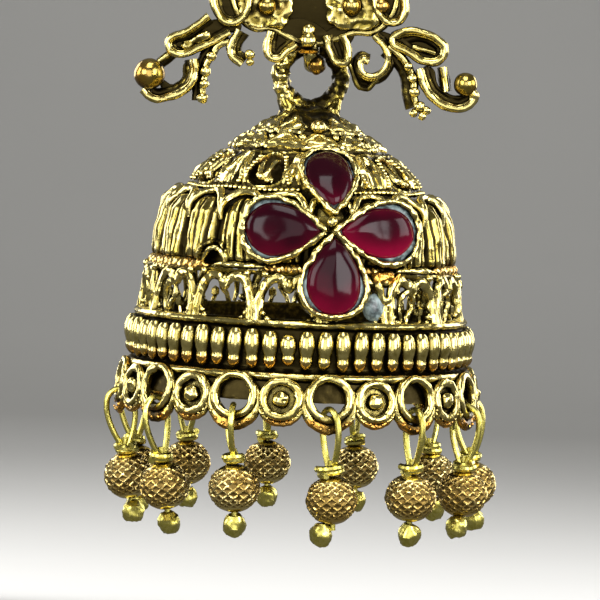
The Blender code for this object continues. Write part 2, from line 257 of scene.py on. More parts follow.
# Stud, its depths measured back from the ear lobe
SCROLL_FRONT = -2.0
SCROLL_BACK = -0.85
PLAQUE_FRONT = -1.15
PLAQUE_BACK = -0.55


# ---------------------------------------------------------------- finishes


class Value:
    """A shader value that takes part in ordinary arithmetic."""

    def __init__(self, finish, socket):
        self.finish = finish
        self.socket = socket

    def __add__(self, other):
        return self.finish.maths("ADD", self, other)

    __radd__ = __add__

    def __sub__(self, other):
        return self.finish.maths("SUBTRACT", self, other)

    def __rsub__(self, other):
        return self.finish.maths("SUBTRACT", other, self)

    def __mul__(self, other):
        return self.finish.maths("MULTIPLY", self, other)

    __rmul__ = __mul__

    def between(self, low, high):
        """0 under low, 1 over high, and smooth in between."""
        sockets = {"Value": self, "From Min": low, "From Max": high}
        return self.finish.node("ShaderNodeMapRange", sockets, interpolation_type="SMOOTHSTEP")


class Finish:
    """A material, built up from nodes."""

    def __init__(self, name, **constants):
        self.material = bpy.data.materials.new(name)
        self.material.use_nodes = True
        self.tree = self.material.node_tree
        self.shader = self.tree.nodes["Principled BSDF"]
        for socket, value in constants.items():
            self.shader.inputs[socket.replace("_", " ")].default_value = value
        self.place = self.node("ShaderNodeTexCoord", {}, output="Object")

    def node(self, kind, sockets, output=0, **settings):
        made = self.tree.nodes.new(kind)
        for name, value in settings.items():
            setattr(made, name, value)
        for name, value in sockets.items():
            self.feed(made.inputs[name], value)
        return Value(self, made.outputs[output])

    def feed(self, socket, value):
        if isinstance(value, Value):
            self.tree.links.new(value.socket, socket)
        else:
            socket.default_value = value

    def maths(self, operation, a, b):
        return self.node("ShaderNodeMath", {0: a, 1: b}, operation=operation)

    def mix(self, factor, a, b):
        """Colour a where the factor is 0 and b where it is 1."""
        return self.node("ShaderNodeMix", {0: factor, 6: a, 7: b}, output=2, data_type="RGBA")

    def noise(self, scale, detail, roughness=0.55):
        """Noise with this many features to the millimetre."""
        sockets = {"Vector": self.place, "Scale": scale / MM, "Detail": detail, "Roughness": roughness}
        return self.node("ShaderNodeTexNoise", sockets)

    def attribute(self, name):
        return self.node("ShaderNodeAttribute", {}, output="Fac", attribute_name=name)

    def crevice(self, reach):
        """1 in the open, and lower where other metal stands close round the surface."""
        sockets = {"Distance": reach * MM}
        return self.node("ShaderNodeAmbientOcclusion", sockets, output="AO", samples=6)

    def bump(self, height, depth, strength):
        """Relief of this depth in millimetres."""
        sockets = {"Height": height, "Distance": depth * MM, "Strength": strength}
        self.wear("Normal", self.node("ShaderNodeBump", sockets))

    def wear(self, socket, value):
        self.feed(self.shader.inputs[socket], value)


def colour(red, green, blue):
    return (red, green, blue, 1.0)


def antique_gold():
    """Gilt casting: pale on every crest, olive on the flats, a dark patina left in the recesses, with painted
    shade where other metal stands close and on what faces down.
    """
    gold = Finish("antique_gold", Metallic=1.0)
    grain = gold.noise(2.8, 3.0, 0.5)
    drift = gold.noise(0.5, 2.0)
    pits = gold.noise(9.0, 2.0, 0.5)
    # The patina mark carries the patina of the folds and the painted shade on what faces down.
    sunk = gold.attribute("patina")
    # Painted shade: the crevice term darkens where other metal stands close, holds back the pale and, through
    # the dark, warms the tone.
    shade = 1 - gold.crevice(0.9)
    dark = (sunk * 0.9 + shade * 1.5 + (grain - 0.5) * 0.7).between(0.20, 0.68)
    wear_and_shade = (0.5 - sunk - shade * 0.35 + (grain - 0.5) * 0.8 + (drift - 0.5) * 0.5).between(0.14, 0.85)
    warm = (gold.attribute("warmth") + (drift - 0.5) * 1.0 + dark * 0.25).between(0.35, 0.95)
    olive, pale = colour(0.36, 0.275, 0.048), colour(0.77, 0.645, 0.235)
    copper, black = colour(0.60, 0.31, 0.055), colour(0.026, 0.019, 0.006)
    metal = gold.mix(wear_and_shade, olive, pale)
    gold.wear("Base Color", gold.mix(dark, gold.mix(warm, metal, copper), black))
    gold.wear("Roughness", dark * 0.22 + grain * 0.18 + 0.08)
    gold.bump(grain * 0.8 + pits * 0.2, 0.05, 0.5)
    return gold.material


def bright_brass():
    """Drawn wire and crimped ends: pale, greenish, with little wear, and painted shade where other metal
    stands close.
    """
    brass = Finish("bright_brass", Metallic=1.0)
    grain = brass.noise(4.0, 3.0)
    # Painted shade: darker where other metal stands close round the wire.
    dark = ((1 - brass.crevice(0.5)) * 1.1 + (grain - 0.5) * 0.4).between(0.35, 0.95)
    tone = brass.mix(grain.between(0.35, 0.7), colour(0.72, 0.63, 0.17), colour(0.50, 0.44, 0.08))
    brass.wear("Base Color", brass.mix(dark, tone, colour(0.09, 0.078, 0.015)))
    brass.wear("Roughness", grain * 0.25 + 0.15)
    brass.bump(grain, 0.025, 0.4)
    return brass.material


def cut_rose_gold():
    """Bead gold with a diamond-cut lattice: bright on the cut ridges, brown in the cuts."""
    rose = Finish("cut_rose_gold", Metallic=1.0)
    grain = rose.noise(5.0, 3.0)
    drift = rose.noise(0.35, 1.0)
    cut = rose.attribute("patina")
    # Painted shade: besides the cuts, darker where other metal stands close round the bead.
    dark = (cut + (1 - rose.crevice(0.5)) * 0.6 + (grain - 0.5) * 0.3).between(0.25, 0.95)
    patches = (drift + (grain - 0.5) * 0.5).between(0.38, 0.62)
    tone = rose.mix(patches, colour(0.78, 0.63, 0.25), colour(0.64, 0.44, 0.12))
    rose.wear("Base Color", rose.mix(dark, tone, colour(0.20, 0.13, 0.036)))
    rose.wear("Roughness", dark * 0.25 + grain * 0.14 + 0.14)
    rose.bump(grain, 0.02, 0.45)
    return rose.material


def ruby_glass():
    """Deep red glass, lit from within where the light leaves it."""
    ruby = Finish("ruby", Roughness=0.13, IOR=1.27)
    glow = ruby.attribute("glow")
    cloud = ruby.noise(0.35, 2.0)
    # The glow is painted light: the red is brighter where the glow mark is high.
    lit = (glow + (cloud - 0.5) * 0.5).between(0.1, 1.1)
    ruby.wear("Base Color", ruby.mix(lit, colour(0.014, 0.0004, 0.003), colour(0.20, 0.001, 0.022)))
    return ruby.material


def setting_cement():
    """Grey cement that holds a stone: smooth, with darker and paler patches."""
    cement = Finish("setting_cement", Coat_Weight=0.35, Coat_Roughness=0.15)
    cloud = cement.noise(1.1, 3.0)
    specks = cement.noise(6.0, 2.0)
    patches = (cloud + (specks - 0.5) * 0.3).between(0.35, 0.68)
    tone = cement.mix(patches, colour(0.028, 0.038, 0.040), colour(0.23, 0.30, 0.30))
    cement.wear("Base Color", tone)
    cement.wear("Roughness", cloud * 0.4 + 0.2)
    cement.bump(cloud * 0.6 + specks * 0.4, 0.06, 0.6)
    return cement.material


def post_steel():
    """A plain bright post with faint draw lines."""
    steel = Finish("post_steel", Metallic=1.0)
    grain = steel.noise(3.0, 3.0)
    steel.wear("Base Color", steel.mix(grain, colour(0.62, 0.60, 0.54), colour(0.50, 0.48, 0.42)))
    steel.wear("Roughness", grain * 0.2 + 0.18)
    steel.bump(grain, 0.01, 0.4)
    return steel.material


def pale_paint(name, tone):
    """Matt paint with broad faint clouds."""
    paint = Finish(name, Roughness=0.8)
    cloud = paint.noise(0.02, 2.0)
    paint.wear("Base Color", paint.mix(cloud, colour(*tone), colour(*(part * 0.96 for part in tone))))
    return paint.material


GOLD = antique_gold()
BRASS = bright_brass()
ROSE = cut_rose_gold()
RUBY = ruby_glass()
CEMENT = setting_cement()
STEEL = post_steel()
SLOTS = {
    GOLD: "antique_gold",
    BRASS: "bright_brass",
    ROSE: "cut_rose_gold",
    RUBY: "ruby",
    STEEL: "post_steel",
}


# ---------------------------------------------------------------- shapes


def moved(shape, matrix):
    bmesh.ops.transform(shape, matrix=matrix, verts=shape.verts)
    return shape


def joined(shapes):
    """Several shapes as one."""
    whole = bmesh.new()
    for shape in shapes:
        scratch = bpy.data.meshes.new("scratch")
        shape.to_mesh(scratch)
        shape.free()
        whole.from_mesh(scratch)
        bpy.data.meshes.remove(scratch)
    return whole


def corners_of(shape):
    """Where the shape's corners are, one row each."""
    return np.array([corner.co for corner in shape.verts])


def in_scene(name, data):
    thing = bpy.data.objects.new(name, data)
    bpy.context.scene.collection.objects.link(thing)
    return thing


def mesh_of(name, shape, material):
    """A smooth mesh in metres from a shape in millimetres."""
    moved(shape, Matrix.Scale(MM, 4))
    mesh = bpy.data.meshes.new(name)
    shape.to_mesh(mesh)
    shape.free()
    mesh.shade_smooth()
    mesh.materials.append(material)
    return mesh


def shown_by(guide):
    """The shape that a curve or a modified mesh shows, its object used up."""
    bpy.context.view_layer.update()
    data = guide.data
    mesh = bpy.data.meshes.new_from_object(guide.evaluated_get(bpy.context.evaluated_depsgraph_get()))
    shape = bmesh.new()
    shape.from_mesh(mesh)
    bpy.data.objects.remove(guide)
    bpy.data.meshes.remove(mesh)
    (bpy.data.curves if isinstance(data, bpy.types.Curve) else bpy.data.meshes).remove(data)
    return shape


def spun(points, steps, closed=False):
    """(radius, height) points turned round Z. An open line closes itself where it ends on the axis."""
    shape = bmesh.new()
    corners = [shape.verts.new((radius, 0, height)) for radius, height in points]
    ends = corners[1:] + corners[:1] if closed else corners[1:]
    edges = [shape.edges.new(pair) for pair in zip(corners, ends)]
    bmesh.ops.spin(
        shape,
        geom=corners + edges,
        cent=(0, 0, 0),
        axis=(0, 0, 1),
        angle=math.tau,
        steps=steps,
        use_merge=True,
    )
    bmesh.ops.remove_doubles(shape, verts=shape.verts, dist=WELD)
    bmesh.ops.dissolve_degenerate(shape, edges=shape.edges, dist=WELD / 10)
    bmesh.ops.recalc_face_normals(shape, faces=shape.faces)
    return shape


def ball(radius, centre, segments=6, rings=5, flatten=(1, 1, 1)):
    shape = bmesh.new()
    bmesh.ops.create_uvsphere(shape, u_segments=segments, v_segments=rings, radius=radius)
    bmesh.ops.scale(shape, vec=flatten, verts=shape.verts)
    bmesh.ops.translate(shape, vec=centre, verts=shape.verts)
    return shape


def bezier(points, smooth, closed, radii=None, **settings):
    """The shape of a smooth curve through the points, with these settings."""
    curve = bpy.data.curves.new("guide", "CURVE")
    curve.resolution_u = smooth
    for name, value in settings.items():
        setattr(curve, name, value)
    line = curve.splines.new("BEZIER")
    line.bezier_points.add(len(points) - 1)
    for i, (knot, point) in enumerate(zip(line.bezier_points, points)):
        knot.co = point
        knot.handle_left_type = knot.handle_right_type = "AUTO"
        knot.radius = radii[i] if radii else 1.0
    line.use_cyclic_u = closed
    shape = shown_by(in_scene("guide", curve))
    bmesh.ops.remove_doubles(shape, verts=shape.verts, dist=WELD)
    return shape


def tube(points, radius, sides=10, closed=False, radii=None, smooth=6, stretch=0.0):
    """A round bar along a smooth line. radii scales it at each point, and stretch makes it a deep strip."""
    return bezier(
        points,
        smooth,
        closed,
        radii,
        dimensions="3D",
        twist_mode="Z_UP" if stretch else "MINIMUM",
        bevel_depth=radius,
        bevel_resolution=(sides - 4) // 2,
        extrude=stretch,
        use_fill_caps=True,
    )


def slab(outline, front, back, round_off):
    """A flat plate with a rounded edge, its outline given across and up."""
    shape = bezier(
        [(across, up, 0) for across, up in outline],
        5,
        True,
        dimensions="2D",
        fill_mode="BOTH",
        extrude=(back - front) / 2 - round_off,
        bevel_depth=round_off,
        bevel_resolution=2,
        offset=-round_off,
    )
    bmesh.ops.recalc_face_normals(shape, faces=shape.faces)
    return moved(shape, Matrix.Translation((0, (front + back) / 2, 0)) @ STANDING)


def evened(shape, size):
    """The same solid with its corners spaced evenly, ready to be hammered."""
    mesh = bpy.data.meshes.new("scratch")
    shape.to_mesh(mesh)
    shape.free()
    solid = in_scene("scratch", mesh)
    remesh = solid.modifiers.new("even", "REMESH")
    remesh.mode = "VOXEL"
    remesh.voxel_size = size
    return shown_by(solid)


def around(azimuth, radius, depth, lean=0.0):
    """The matrix of a place on the bell: X along the wall, Y up it, Z straight out. Azimuth in degrees."""
    turn = Matrix.Rotation(math.radians(azimuth), 4, "Z")
    return turn @ Matrix.Translation((0, -radius, -depth)) @ Matrix.Rotation(math.pi / 2 - lean, 4, "X")


def on_wall(azimuth, radius, depth):
    """The point of the bell at this azimuth in degrees."""
    angle = math.radians(azimuth)
    return Vector((radius * math.sin(angle), -radius * math.cos(angle), -depth))


def wall_wire(centre, line, radius, thick, sides=8, radii=None):
    """A wire laid on a wall, its line given as (azimuth from the centre, depth)."""
    points = [on_wall(centre + across, radius, depth) for across, depth in line]
    return tube(points, thick, sides, radii=radii)


def crown_radius(depth):
    return float(np.interp(depth, *np.array(CROWN_LINE).T))


def on_crown(azimuth, depth, proud=0.0):
    return on_wall(azimuth, crown_radius(depth) + proud, depth)


def crown_wire(centre, line, thick, proud=0.0, **settings):
    """A wire laid on the crown, its line given as (azimuth from the centre, depth)."""
    points = [on_crown(centre + across, depth, proud) for across, depth in line]
    return tube(points, thick, 8, **settings)


def roughen(shape, size, height, seed=0.0, octaves=3):
    """Uneven casting: dents of this size and height, soft from one octave and crumpled from three."""
    shape.normal_update()
    offset = Vector((seed, seed * 0.7, seed * 1.3))
    moves = [
        corner.normal * noise.fractal(corner.co / size + offset, 1.0, 2.0, octaves) * height
        for corner in shape.verts
    ]
    for corner, move in zip(shape.verts, moves):
        corner.co += move
    return shape


# ---------------------------------------------------------------- pieces

# How strongly a fold marks the patina, over how many corners it spreads, and the painted shade on what faces
# down
FOLD_GAUGE = 0.12
FOLD_REACH = 2
UNDERSIDE_SHADE = 0.3


def folds_of(mesh, gain):
    """How each corner of the mesh lies: 1 deep in a fold, 0 on a flat, -1 on a crest."""
    count = len(mesh.vertices)
    places = np.empty(count * 3)
    mesh.vertices.foreach_get("co", places)
    places = places.reshape(-1, 3)
    ends = np.empty(len(mesh.edges) * 2, np.int64)
    mesh.edges.foreach_get("vertices", ends)
    a, b = ends.reshape(-1, 2).T
    near = np.maximum(np.bincount(a, minlength=count) + np.bincount(b, minlength=count), 1)

    def mean(values):
        total = np.bincount(a, values[b], count) + np.bincount(b, values[a], count)
        return total / near

    level = np.stack([mean(places[:, axis]) for axis in range(3)], 1)
    length = np.linalg.norm(places[a] - places[b], axis=1)
    size = (np.bincount(a, length, count) + np.bincount(b, length, count)) / near
    sunk = ((level - places) * normals_of(mesh)).sum(1)
    fold = sunk * FOLD_GAUGE * MM / np.maximum(size, 1e-9) ** 2
    for _ in range(FOLD_REACH):
        fold = 0.5 * fold + 0.5 * mean(fold)
    return np.clip(fold * gain, -1, 1)


def normals_of(mesh):
    normals = np.empty(len(mesh.vertices) * 3)
    mesh.vertex_normals.foreach_get("vector", normals)
    return normals.reshape(-1, 3)


def finish_piece(name, shape, body, material, place, nodes=(), crease=40, gain=3.0, **marks):
    """Turns a shape into a piece that moves with its body. marks: a number each, or one for every corner."""
    mesh = mesh_of(name, moved(shape, place), material)
    mesh.set_sharp_from_angle(angle=math.radians(crease))
    if material in (GOLD, ROSE):
        marks["patina"] = marks.get("patina", 0) + folds_of(mesh, gain)
    if material == GOLD:
        # Painted shade: what faces down is darkened through the patina mark.
        downwards = np.clip(-normals_of(mesh)[:, 2], 0, 1)
        marks["patina"] = marks["patina"] + UNDERSIDE_SHADE * downwards
    for mark, values in marks.items():
        layer = mesh.attributes.new(mark, "FLOAT", "POINT")
        values = np.broadcast_to(values, len(mesh.vertices))
        layer.data.foreach_set("value", np.ascontiguousarray(values, np.float32))
    piece = in_scene(name, mesh)
    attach(piece, body)
    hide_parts(*nodes)
    material in SLOTS


def cast(name, shape, nodes=(), **settings):
    """A piece of the bell's gilt casting."""
    finish_piece(name, shape, "bell", GOLD, BELL, nodes, **settings)


def cast_on_stud(name, shape, nodes=(), **settings):
    """A piece of the stud's gilt casting."""
    finish_piece(name, shape, "stud", GOLD, Matrix.Identity(4), nodes, **settings)


# ---------------------------------------------------------------- relief on turned walls


def even_line(line, count):
    """Points evenly spaced along a line of (depth, radius)."""
    line = np.array(line)
    steps = np.hypot(*np.diff(line, axis=0).T)
    along = np.concatenate([[0], np.cumsum(steps)])
    wanted = np.linspace(0, along[-1], count)
    return np.stack([np.interp(wanted, along, line[:, 0]), np.interp(wanted, along, line[:, 1])], 1)


def apart(azimuth, count, turn=0.0):
    """Degrees from the nearest of so many places spaced evenly round the bell."""
    step = FULL_TURN / count
    return (azimuth - turn + step / 2) % step - step / 2


def share_of(value):
    return np.clip(value, 0, 1)


def line_at(value, middle, width):
    """1 where the value is at the middle, fading over this width to both sides."""
    return np.exp(-(((value - middle) / width) ** 2))


def unevenness(azimuth, depth, seed, waves, coarse):
    """Slow irregular waves round the bell, from -1 to 1, as in a wax worked by hand."""
    draw = random.Random(seed)
    total = np.zeros_like(azimuth)
    for _ in range(waves):
        turns = draw.randint(3, coarse)
        slant = draw.uniform(-2.5, 2.5) * depth
        total += np.sin(np.radians(turns * azimuth) + slant + draw.uniform(0, math.tau))
    return total / waves**0.5 / 1.5


def worked_wall(outside, inside, columns, rows, relief):
    """A turned wall whose outer face is worked in relief.

    relief(azimuth, depth) gives height, patina and warmth. The wall comes with its marks."""
    outer = even_line(outside, rows)
    points = [(radius, -depth) for depth, radius in (*outer, *inside)]
    shape = spun(points, columns, closed=True)
    places = corners_of(shape)
    radius = np.hypot(places[:, 0], places[:, 1])
    depth = -places[:, 2]
    azimuth = np.degrees(np.arctan2(places[:, 0], -places[:, 1]))
    worked = np.abs(radius - np.interp(depth, outer[:, 0], outer[:, 1])) < 0.02
    height, patina, warmth = relief(azimuth, depth)
    ends = np.minimum(depth - outer[0, 0], outer[-1, 0] - depth) / 0.12
    height = np.where(worked, height * share_of(ends), 0)
    slope = np.gradient(outer[:, 1], outer[:, 0])
    lean = np.arctan(np.interp(depth, outer[:, 0], slope))
    places[:, :2] *= (1 + height * np.cos(lean) / np.maximum(radius, 1e-6))[:, None]
    places[:, 2] += height * np.sin(lean)
    for corner, place in zip(shape.verts, places):
        corner.co = place
    # Painted shade: the faces that the relief does not reach, inside the bell, get a dark patina mark of
    # 0.75.
    return shape, {"patina": np.where(worked, patina, 0.75), "warmth": np.where(worked, warmth, 0.3)}


def crown_relief(azimuth, depth):
    """Two rings of sunk leaves, then hollows between bundles of hammered leaves."""
    rough = unevenness(azimuth, depth, 3, 12, 40)
    height = 0.0 * depth
    patina = 0.58 + 0.1 * rough + 0.1 * (depth < 4.2)

    side = apart(azimuth, LEAVES) / 12.4
    lens = side**2 + ((depth - LEAF_DEPTH - 0.35 * side**2) / 0.47) ** 2
    zone = (depth > 4.0) & (depth < 5.5)
    height += np.where(zone, 0.12 * share_of(1 - lens**2) ** 1.5 - 0.10 * (lens > 1.3), 0)
    patina = np.where(zone, 0.8 * (lens > 1.2), patina)

    line = line_at(depth, 5.42, 0.10)
    height += 0.20 * line
    patina = patina * (1 - line) + 0.55 * line_at(depth, 5.22, 0.1)

    low = depth > 5.5
    away = apart(azimuth, HOLLOWS, HOLLOW_TURN)
    hollow = (away / HOLLOW_HALF[0]) ** 2 + ((depth - HOLLOW_DEPTH) / HOLLOW_HALF[1]) ** 2
    height -= np.where(low, 0.62 * np.clip(1.25 - hollow, 0, 0.6) / 0.6, 0)
    height += np.where(low, 0.16 * line_at(hollow, 1.35, 0.22), 0)
    patina = np.where(low & (hollow < 1.0), 0.95, patina)

    fan = apart(azimuth, HOLLOWS, HOLLOW_TURN + FULL_TURN / HOLLOWS / 2)
    bundle = low & (np.abs(fan) < 10.5) & (depth < 7.8)
    height += np.where(bundle, 0.10 + 0.05 * rough, 0)
    patina = np.where(bundle, 0.75, patina)
    patina = np.maximum(patina, 0.8 * line_at(depth, 7.72, 0.08))
    return height, share_of(patina), 0.25 + 0.5 * (hollow < 1.2) * low


def rib_relief(azimuth, depth):
    """Fluted lobes under scalloped leaves, with dark grooves between them and small sunk openings at the
    foot, painted dark as shade.
    """
    side = apart(azimuth, RIBS)
    which = np.round((azimuth - side) / (FULL_TURN / RIBS)).astype(int) % RIBS
    draw = random.Random(11)
    shift = np.array([draw.uniform(-0.13, 0.13) for _ in range(RIBS)])[which]
    flutes = np.array([draw.choice((2.9, 3.2, 3.6)) for _ in range(RIBS)])[which]
    swell = np.array([draw.uniform(0.92, 1.08) for _ in range(RIBS)])[which]
    across = side / RIB_HALF
    inside = share_of(1 - across**2)
    top = 8.28 + 0.55 * across**2
    rise = share_of((depth - top) / 0.9)
    fall = share_of((13.25 - depth) / 0.5)
    envelope = np.sin(rise * math.pi / 2) * np.sin(fall * math.pi / 2)
    lobe = inside**0.55 * envelope * swell
    rough = unevenness(azimuth, depth, 5, 12, 60)
    phase = (across * (1 + 0.10 * np.sin(1.1 * depth + 3 * shift)) + shift) * flutes / 2
    flute = np.abs(np.sin(math.pi * phase))
    groove = line_at(flute, 0, 0.34) * envelope * (inside > 0.03)
    height = 0.72 * lobe - 0.34 - 0.17 * groove * (1 + 0.4 * rough) + 0.03 * rough
    patina = 0.22 + 0.95 * (1 - share_of(inside * 3.5)) * (depth > top) + 0.72 * groove + 0.08 * rough
    patina = np.where(depth < top - 0.05, 0.85, patina)

    gap = apart(azimuth, FOOT_OPENINGS, FOOT_OPENING_TURN)
    mouth = (gap / 5.6) ** 2 + (np.minimum(depth - 12.95, 0) / 1.1) ** 2
    height = np.where(mouth < 1, -0.75, height)
    height += 0.30 * line_at(mouth, 1.25, 0.28) * (depth > 11.6)
    # Painted shade: the sunk openings are darkened as the shadow inside them.
    patina = np.where(mouth < 1, 0.9, patina)
    warmth = 0.15 + 0.5 * groove + 0.35 * share_of((depth - 12.3) / 0.8)
    return height, share_of(patina), share_of(warmth)


def rim_relief(azimuth, depth):
    """The wall under the barrels with its two ridges, their edges hammered a little uneven."""
    rough = unevenness(azimuth, depth, 9, 10, 30)
    fine = unevenness(azimuth, depth * 3, 10, 10, 120)
    # Painted shade: the wall is dark behind the barrels and below the lower ridge, where it shows only
    # between the barrels and through the eyes.
    behind = (depth > 17.35) & (depth < 20.25)
    below = depth > 20.95
    return 0.035 * rough + 0.02 * fine, 0.85 * (behind | below), 0.1 + 0.5 * behind


def make_walls():
    for name, outside, inside, columns, rows, relief, nodes, hammered in (
        ("crown", CROWN_LINE, CROWN_INSIDE, 720, 76, crown_relief, ["bell"], (0.75, 0.15, 0.0, 1)),
        ("rib_band", RIB_LINE, RIB_INSIDE, 800, 64, rib_relief, [], (0.9, 0.09, 0.0, 1)),
        ("rim_wall", RIM_LINE, RIM_INSIDE, 360, 70, rim_relief, [], (0.9, 0.04)),
    ):
        shape, marks = worked_wall(outside, inside, columns, rows, relief)
        cast(name, roughen(shape, *hammered), nodes, **marks)


# ---------------------------------------------------------------- ring and crown trim


def make_ring():
    """The hanging ring, its face like crumpled leaf, and the saddle where it grows out of the crown."""
    section = [
        (RING_MAJOR + RING_WIRE * math.cos(turn), RING_WIRE * math.sin(turn))
        for turn in (math.tau * i / 28 for i in range(28))
    ]
    shape = moved(spun(section, 120, closed=True), STANDING)
    for corner in shape.verts:
        lower = max(0.0, -corner.co.z - 1.0)
        corner.co.y *= 1 + 0.10 * lower
    places = corners_of(shape)
    within = RING_MAJOR - np.hypot(places[:, 0], places[:, 2])
    patina = share_of(0.46 + within * 0.9 + 0.17 * places[:, 0])
    cast("hanging_ring", roughen(shape, 0.5, 0.17, 2.0, 2), patina=patina)

    saddle = ball(1.0, (0, 0, 0), 40, 40, (1.75, 0.70, 1.45))
    roots = [moved(saddle, Matrix.Translation((0, 0, -2.70)) @ STANDING)]
    line = ((1.95, -1.3), (1.75, -2.0), (1.5, -2.55), (1.9, -3.0), (2.6, -3.2))
    for side in (-1, 1):
        for thick, lean, radii in (
            (0.55, 0.15, (0.8, 1.0, 1.05, 0.9, 0.4)),
            (0.50, -0.3, (0.8, 1.0, 1.0, 0.85, 0.4)),
        ):
            points = [(side * across, lean * k, up) for k, (across, up) in enumerate(line)]
            roots.append(tube(points, thick, 14, radii=radii))
    cast("ring_saddle", roughen(joined(roots), 0.7, 0.22, 5.0, 1), patina=0.5)


def plump_leaf(azimuth, depth, sunk, size):
    seat = around(azimuth, crown_radius(depth), depth, CROWN_LEAN)
    return moved(ball(1.0, (0, 0, -sunk), 36, 24, size), seat)


def make_crown_leaves():
    """Two rings of plump leaves in wire rims, and fans of blades between the hollows."""
    upper = ((-12, 4.0), (-6.5, 3.3), (0, 3.02), (6.5, 3.3), (12, 4.0), (0, 3.92))
    lower = (
        (-12.8, 5.05),
        (-7.5, 4.42),
        (0, 4.16),
        (7.5, 4.42),
        (12.8, 5.05),
        (6.5, 5.0),
        (0, 4.93),
        (-6.5, 5.0),
    )
    rims, blades, lenses = [], [], []
    for turn in (90 * k + offset for k in range(4) for offset in (30, 60)):
        rims.append(crown_wire(turn, upper, 0.22, -0.06, closed=True))
        turn += chance.uniform(-1.5, 1.5)
        lenses.append(plump_leaf(turn, UPPER_LEAF_DEPTH, 0.10, (1.15, 0.52, 0.32)))
    for turn in (FULL_TURN * k / LEAVES for k in range(LEAVES)):
        rims.append(crown_wire(turn + chance.uniform(-1, 1), lower, 0.22, closed=True))
        blades.append(ball(0.24, on_crown(turn + 15, 4.35, 0.02), 10, 8))
        lenses.append(plump_leaf(turn, LEAF_DEPTH + 0.10, 0.06, (1.30, 0.40, 0.32)))
    cast("crown_leaf_rims", roughen(joined(rims), 0.9, 0.12, 0.0, 1))
    cast("crown_lenses", roughen(joined(lenses), 0.8, 0.16, 6.0, 1))

    fan = FULL_TURN / HOLLOWS / 2 + HOLLOW_TURN
    for k in range(HOLLOWS):
        for i in range(BLADES):
            share = i / (BLADES - 1) * 2 - 1
            lean = chance.uniform(-1.2, 1.2)
            line = (
                (3.8 * share, 5.62),
                (6.0 * share + lean, 6.3),
                (8.2 * share + lean, 7.0),
                (9.8 * share, 7.66),
            )
            radii = [chance.uniform(0.7, 1.0), chance.uniform(0.9, 1.2), chance.uniform(0.9, 1.2), 0.8]
            blades.append(crown_wire(fan + FULL_TURN * k / HOLLOWS, line, 0.25, -0.02, radii=radii, smooth=7))
    cast("crown_leaves", roughen(joined(blades), 0.9, 0.20, 3.0, 1), gain=5.0)


def make_crown_trim():
    """Granules, the leaves, beaded lines, and a curled leaf in each hollow."""
    hollows = [HOLLOW_TURN + FULL_TURN * k / HOLLOWS for k in range(HOLLOWS)]
    granules = [
        roughen(ball(0.56, on_crown(azimuth, 3.58, 0.50), 24, 18), 0.6, 0.04, azimuth, 1)
        for azimuth in (0, 180)
    ]
    for k, centre in enumerate(hollows):
        granules.append(roughen(ball(0.27, on_crown(centre + 1.5, 7.38, -0.1), 14, 10), 0.25, 0.08, k))
    cast("crown_granules", joined(granules), warmth=0.55, gain=1.5)

    make_crown_leaves()

    beads = []
    for azimuth in (FULL_TURN * i / CROWN_BEADS for i in range(CROWN_BEADS)):
        depth = CROWN_ROPE_DEPTH + 0.05 * math.sin(math.radians(azimuth * 9))
        beads.append(ball(0.20 * chance.uniform(0.8, 1.1), on_wall(azimuth, 8.28, depth)))
    for centre in hollows:
        for side in (-1, 1):
            for share in (i / 8 for i in range(9)):
                azimuth = centre + side * (8.6 + 4.8 * share)
                spot = on_crown(azimuth, 5.75 + 1.75 * share, 0.22)
                beads.append(ball(0.175 * chance.uniform(0.8, 1.15), spot))
    cast("crown_beading", joined(beads), gain=1.0)

    curl = ((-3.6, 6.05), (-4.6, 6.6), (-1.8, 7.15), (1.0, 6.75), (3.4, 6.15), (5.6, 6.0))
    stem = ((1.0, 6.75), (2.6, 7.2), (5.2, 7.45))
    curls = []
    for centre in hollows:
        curls.append(crown_wire(centre, curl, 0.17, radii=(0.7, 1.2, 1.4, 1.0, 1.2, 0.5)))
        curls.append(crown_wire(centre, stem, 0.12, radii=(1.0, 1.2, 1.5)))
    cast("crown_curls", roughen(joined(curls), 0.3, 0.05))


# ---------------------------------------------------------------- rib crests, rope, arches and barrels


def make_rib_crests():
    """A raised leaf edge over the top of each rib, running down into the grooves on both sides."""
    half = ((2.6, 8.28), (6.0, 8.52), (8.2, 9.15), (8.9, 10.1))
    line = [(-across, depth) for across, depth in reversed(half)] + list(half)
    crests = []
    for centre in (FULL_TURN * i / RIBS for i in range(RIBS)):
        points = []
        for k, (across, depth) in enumerate(line):
            end = k in (0, len(line) - 1)
            radius = float(np.interp(depth, *np.array(RIB_LINE).T)) + 0.40 - 0.45 * end
            azimuth = centre + across + chance.uniform(-0.4, 0.4)
            points.append(on_wall(azimuth, radius, depth + chance.uniform(-0.08, 0.08)))
        crests.append(tube(points, 0.27, 10, radii=(0.5, 0.9, 1, 1, 1, 1, 0.9, 0.5)))
    cast("rib_crests", roughen(joined(crests), 0.8, 0.09, 0.0, 1))


def rope(start, end):
    """Two strands twisted round each other along an arc at the foot of the ribs, thinner at its ends."""
    strands = []
    count = int(abs(end - start) / FULL_TURN * ROPE_TWISTS * 8) + 2
    for half in (0, math.pi):
        points, radii = [], []
        for share in (i / (count - 1) for i in range(count)):
            azimuth = start + (end - start) * share
            turn = math.radians(azimuth) * ROPE_TWISTS + half
            taper = min(1.0, share / 0.1, (1 - share) / 0.1)
            spread = ROPE_THICK * 0.5 * max(taper, 0.15)
            radius = ROPE_RADIUS + spread * math.cos(turn)
            points.append(on_wall(azimuth, radius, ROPE_DEPTH + spread * math.sin(turn)))
            radii.append(max(taper, 0.25))
        strands.append(tube(points, ROPE_THICK * 0.56, 8, radii=radii, smooth=1))
    return joined(strands)


